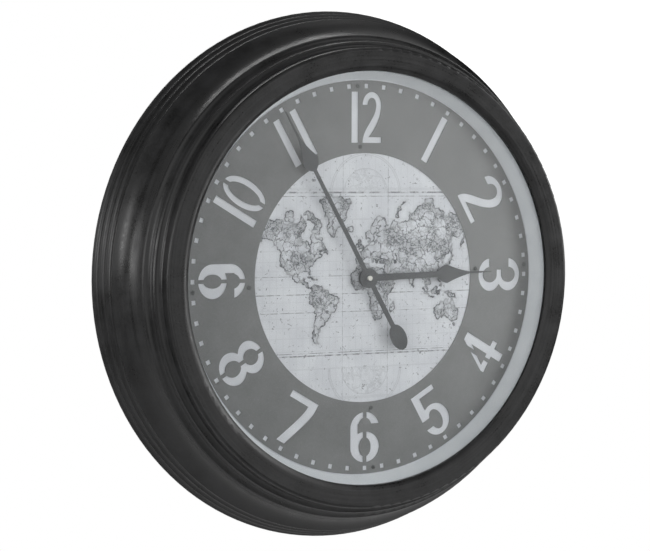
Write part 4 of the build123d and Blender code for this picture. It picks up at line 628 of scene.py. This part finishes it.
# Stage: a pale round floor well below the clock, a white surround and six soft lamps.
# The surround is white to the camera, and lights the clock with a few broad, soft glows.
FLOOR_HEIGHT, FLOOR_RADIUS, FLOOR_STEPS = -1.0, 2.2, 33
floor_points, floor_faces, _ = disc(np.linspace(-1, 1, FLOOR_STEPS), FLOOR_RADIUS)
floor_mesh = bpy.data.meshes.new("pale_floor")
floor_mesh.from_pydata(np.insert(floor_points, 2, FLOOR_HEIGHT, 1).tolist(), [], floor_faces.tolist())
floor = bpy.data.objects.new("pale_floor", floor_mesh)
bpy.context.scene.collection.objects.link(floor)
pale, _ = finish_of("pale_floor", {"Base Color": linear("#dedede"), "Roughness": 0.8})
floor_mesh.materials.append(pale)

surround = bpy.data.worlds.new("white_surround")
bpy.context.scene.world = surround
surround.use_nodes = True
seen = add(surround, "ShaderNodeLightPath", {}).outputs["Is Camera Ray"]
heading = add(surround, "ShaderNodeTexCoord", {}).outputs["Generated"]
toward = add(surround, "ShaderNodeSeparateXYZ", (heading,)).outputs
# The surround is a little brighter behind the clock than before it
behind = add(surround, "ShaderNodeMapRange", (toward["Y"], -0.3, 0.6, 0.12, 0.31)).outputs[0]
# A glow on the right, brightest just above eye height
sideways = add(surround, "ShaderNodeMapRange", (toward["X"], 0.38, 0.62, 0.12, 1.0)).outputs[0]
facing = add(surround, "ShaderNodeMapRange", (toward["X"], 0.1, 0.38)).outputs[0]
rising = add(surround, "ShaderNodeMapRange", (toward["Z"], -0.13, 0.06, 0.2, 1.4)).outputs[0]
falling = add(surround, "ShaderNodeMapRange", (toward["Z"], 0.12, 0.4, 1.4, 0.1)).outputs[0]
height = add(surround, "ShaderNodeMath", (rising, falling), operation="MINIMUM").outputs[0]
beside = add(surround, "ShaderNodeMath", (sideways, facing), operation="MULTIPLY").outputs[0]
beside = add(surround, "ShaderNodeMath", (beside, height), operation="MULTIPLY").outputs[0]
# The glow stops short of the far right
beyond = add(surround, "ShaderNodeMapRange", (toward["X"], 0.70, 0.85, 0.0, -0.9)).outputs[0]
# A second glow stands before the dial, a little to the left and above
AHEAD = (-0.34, -0.93, 0.14)
nearness = add(surround, "ShaderNodeVectorMath", (heading, AHEAD), operation="DOT_PRODUCT").outputs["Value"]
ahead = add(surround, "ShaderNodeMapRange", (nearness, 0.72, 1.0, 0.0, 1.1)).outputs[0]
strength = behind
for glow in (beside, beyond, ahead):
    strength = add(surround, "ShaderNodeMath", (strength, glow), operation="ADD").outputs[0]
strength = add(surround, "ShaderNodeMath", (strength, seen), operation="MAXIMUM").outputs[0]
feed(surround, surround.node_tree.nodes["Background"], {"Strength": strength})
surround.node_tree.nodes["Background"].inputs["Color"].default_value = (1.0, 1.0, 1.0, 1.0)


def softbox(name, azimuth, elevation, distance, width, height, watts):
    """Area lamp that faces the dial's centre from a direction in degrees. Azimuth 0 is straight in front,
    positive to the right. Its distance and sides are in metres."""
    turn, tilt = np.radians([azimuth, elevation])
    away = Vector((np.sin(turn) * np.cos(tilt), -np.cos(turn) * np.cos(tilt), np.sin(tilt)))
    lamp = bpy.data.lights.new(name, "AREA")
    lamp.shape = "RECTANGLE"
    lamp.size = width
    lamp.size_y = height
    lamp.energy = watts
    holder = bpy.data.objects.new(name, lamp)
    holder.location = away * distance
    holder.rotation_mode = "QUATERNION"
    holder.rotation_quaternion = away.to_track_quat("Z", "Y")
    bpy.context.scene.collection.objects.link(holder)


softbox("left_strip", -72, 12, 2.4, 0.42, 0.60, 9)
softbox("left_wall", -108, 6, 2.4, 0.9, 0.6, 8)
softbox("right_window", 63, 14, 1.6, 0.75, 0.8, 5)
softbox("right_card", 52, 0, 1.6, 0.35, 0.7, 4)
softbox("top_window", 50, 64, 2.4, 1.2, 0.8, 3)
softbox("back_fill", 172, 34, 3.0, 2.0, 1.5, 40)

# Camera: 2.4 m away, to the left of the dial and a little above it, with a long lens.
# Its axis is turned so that the dial's centre lands where the photograph has it.
PICTURE_WIDTH, PICTURE_HEIGHT = 650, 551
FOCAL_PIXELS = 2077.8
AZIMUTH, ELEVATION, ROLL = np.radians([-29.40, 2.913, -0.2528])
DISTANCE = 2.3782
CENTRE_PIXEL = (334.77, 274.94)
SENSOR_WIDTH = 36.0
out = np.array([np.cos(ELEVATION) * np.sin(AZIMUTH), np.sin(ELEVATION), np.cos(ELEVATION) * np.cos(AZIMUTH)])
right = np.cross(-out, (0.0, 1.0, 0.0))
right /= np.linalg.norm(right)
down = np.cross(-out, right)
rolled_right = np.cos(ROLL) * right + np.sin(ROLL) * down
rolled_down = np.cos(ROLL) * down - np.sin(ROLL) * right
rolled = np.array([rolled_right, rolled_down, -out])
pan = np.arctan2(CENTRE_PIXEL[0] - PICTURE_WIDTH / 2, FOCAL_PIXELS)
tilt = np.arctan2(CENTRE_PIXEL[1] - PICTURE_HEIGHT / 2, FOCAL_PIXELS)
panned = np.array([[np.cos(pan), 0, np.sin(pan)], [0, 1, 0], [-np.sin(pan), 0, np.cos(pan)]])
tilted = np.array([[1, 0, 0], [0, np.cos(tilt), np.sin(tilt)], [0, -np.sin(tilt), np.cos(tilt)]])
axes = panned @ tilted @ rolled
# The camera was solved with y up, and the frame has z up
into_frame = np.array([[1, 0, 0], [0, 0, -1], [0, 1, 0]])
columns = into_frame @ np.stack([axes[0], -axes[1], -axes[2]], 1)
lens = bpy.data.cameras.new("long_lens")
lens.sensor_fit = "HORIZONTAL"
lens.sensor_width = SENSOR_WIDTH
lens.lens = SENSOR_WIDTH * FOCAL_PIXELS / PICTURE_WIDTH
camera = bpy.data.objects.new("camera", lens)
stand = Matrix.Translation(Vector(into_frame @ out * DISTANCE))
camera.matrix_world = stand @ Matrix(columns.tolist()).to_4x4()
bpy.context.scene.collection.objects.link(camera)
bpy.context.scene.camera = camera
bpy.context.scene.view_settings.view_transform = "Standard"
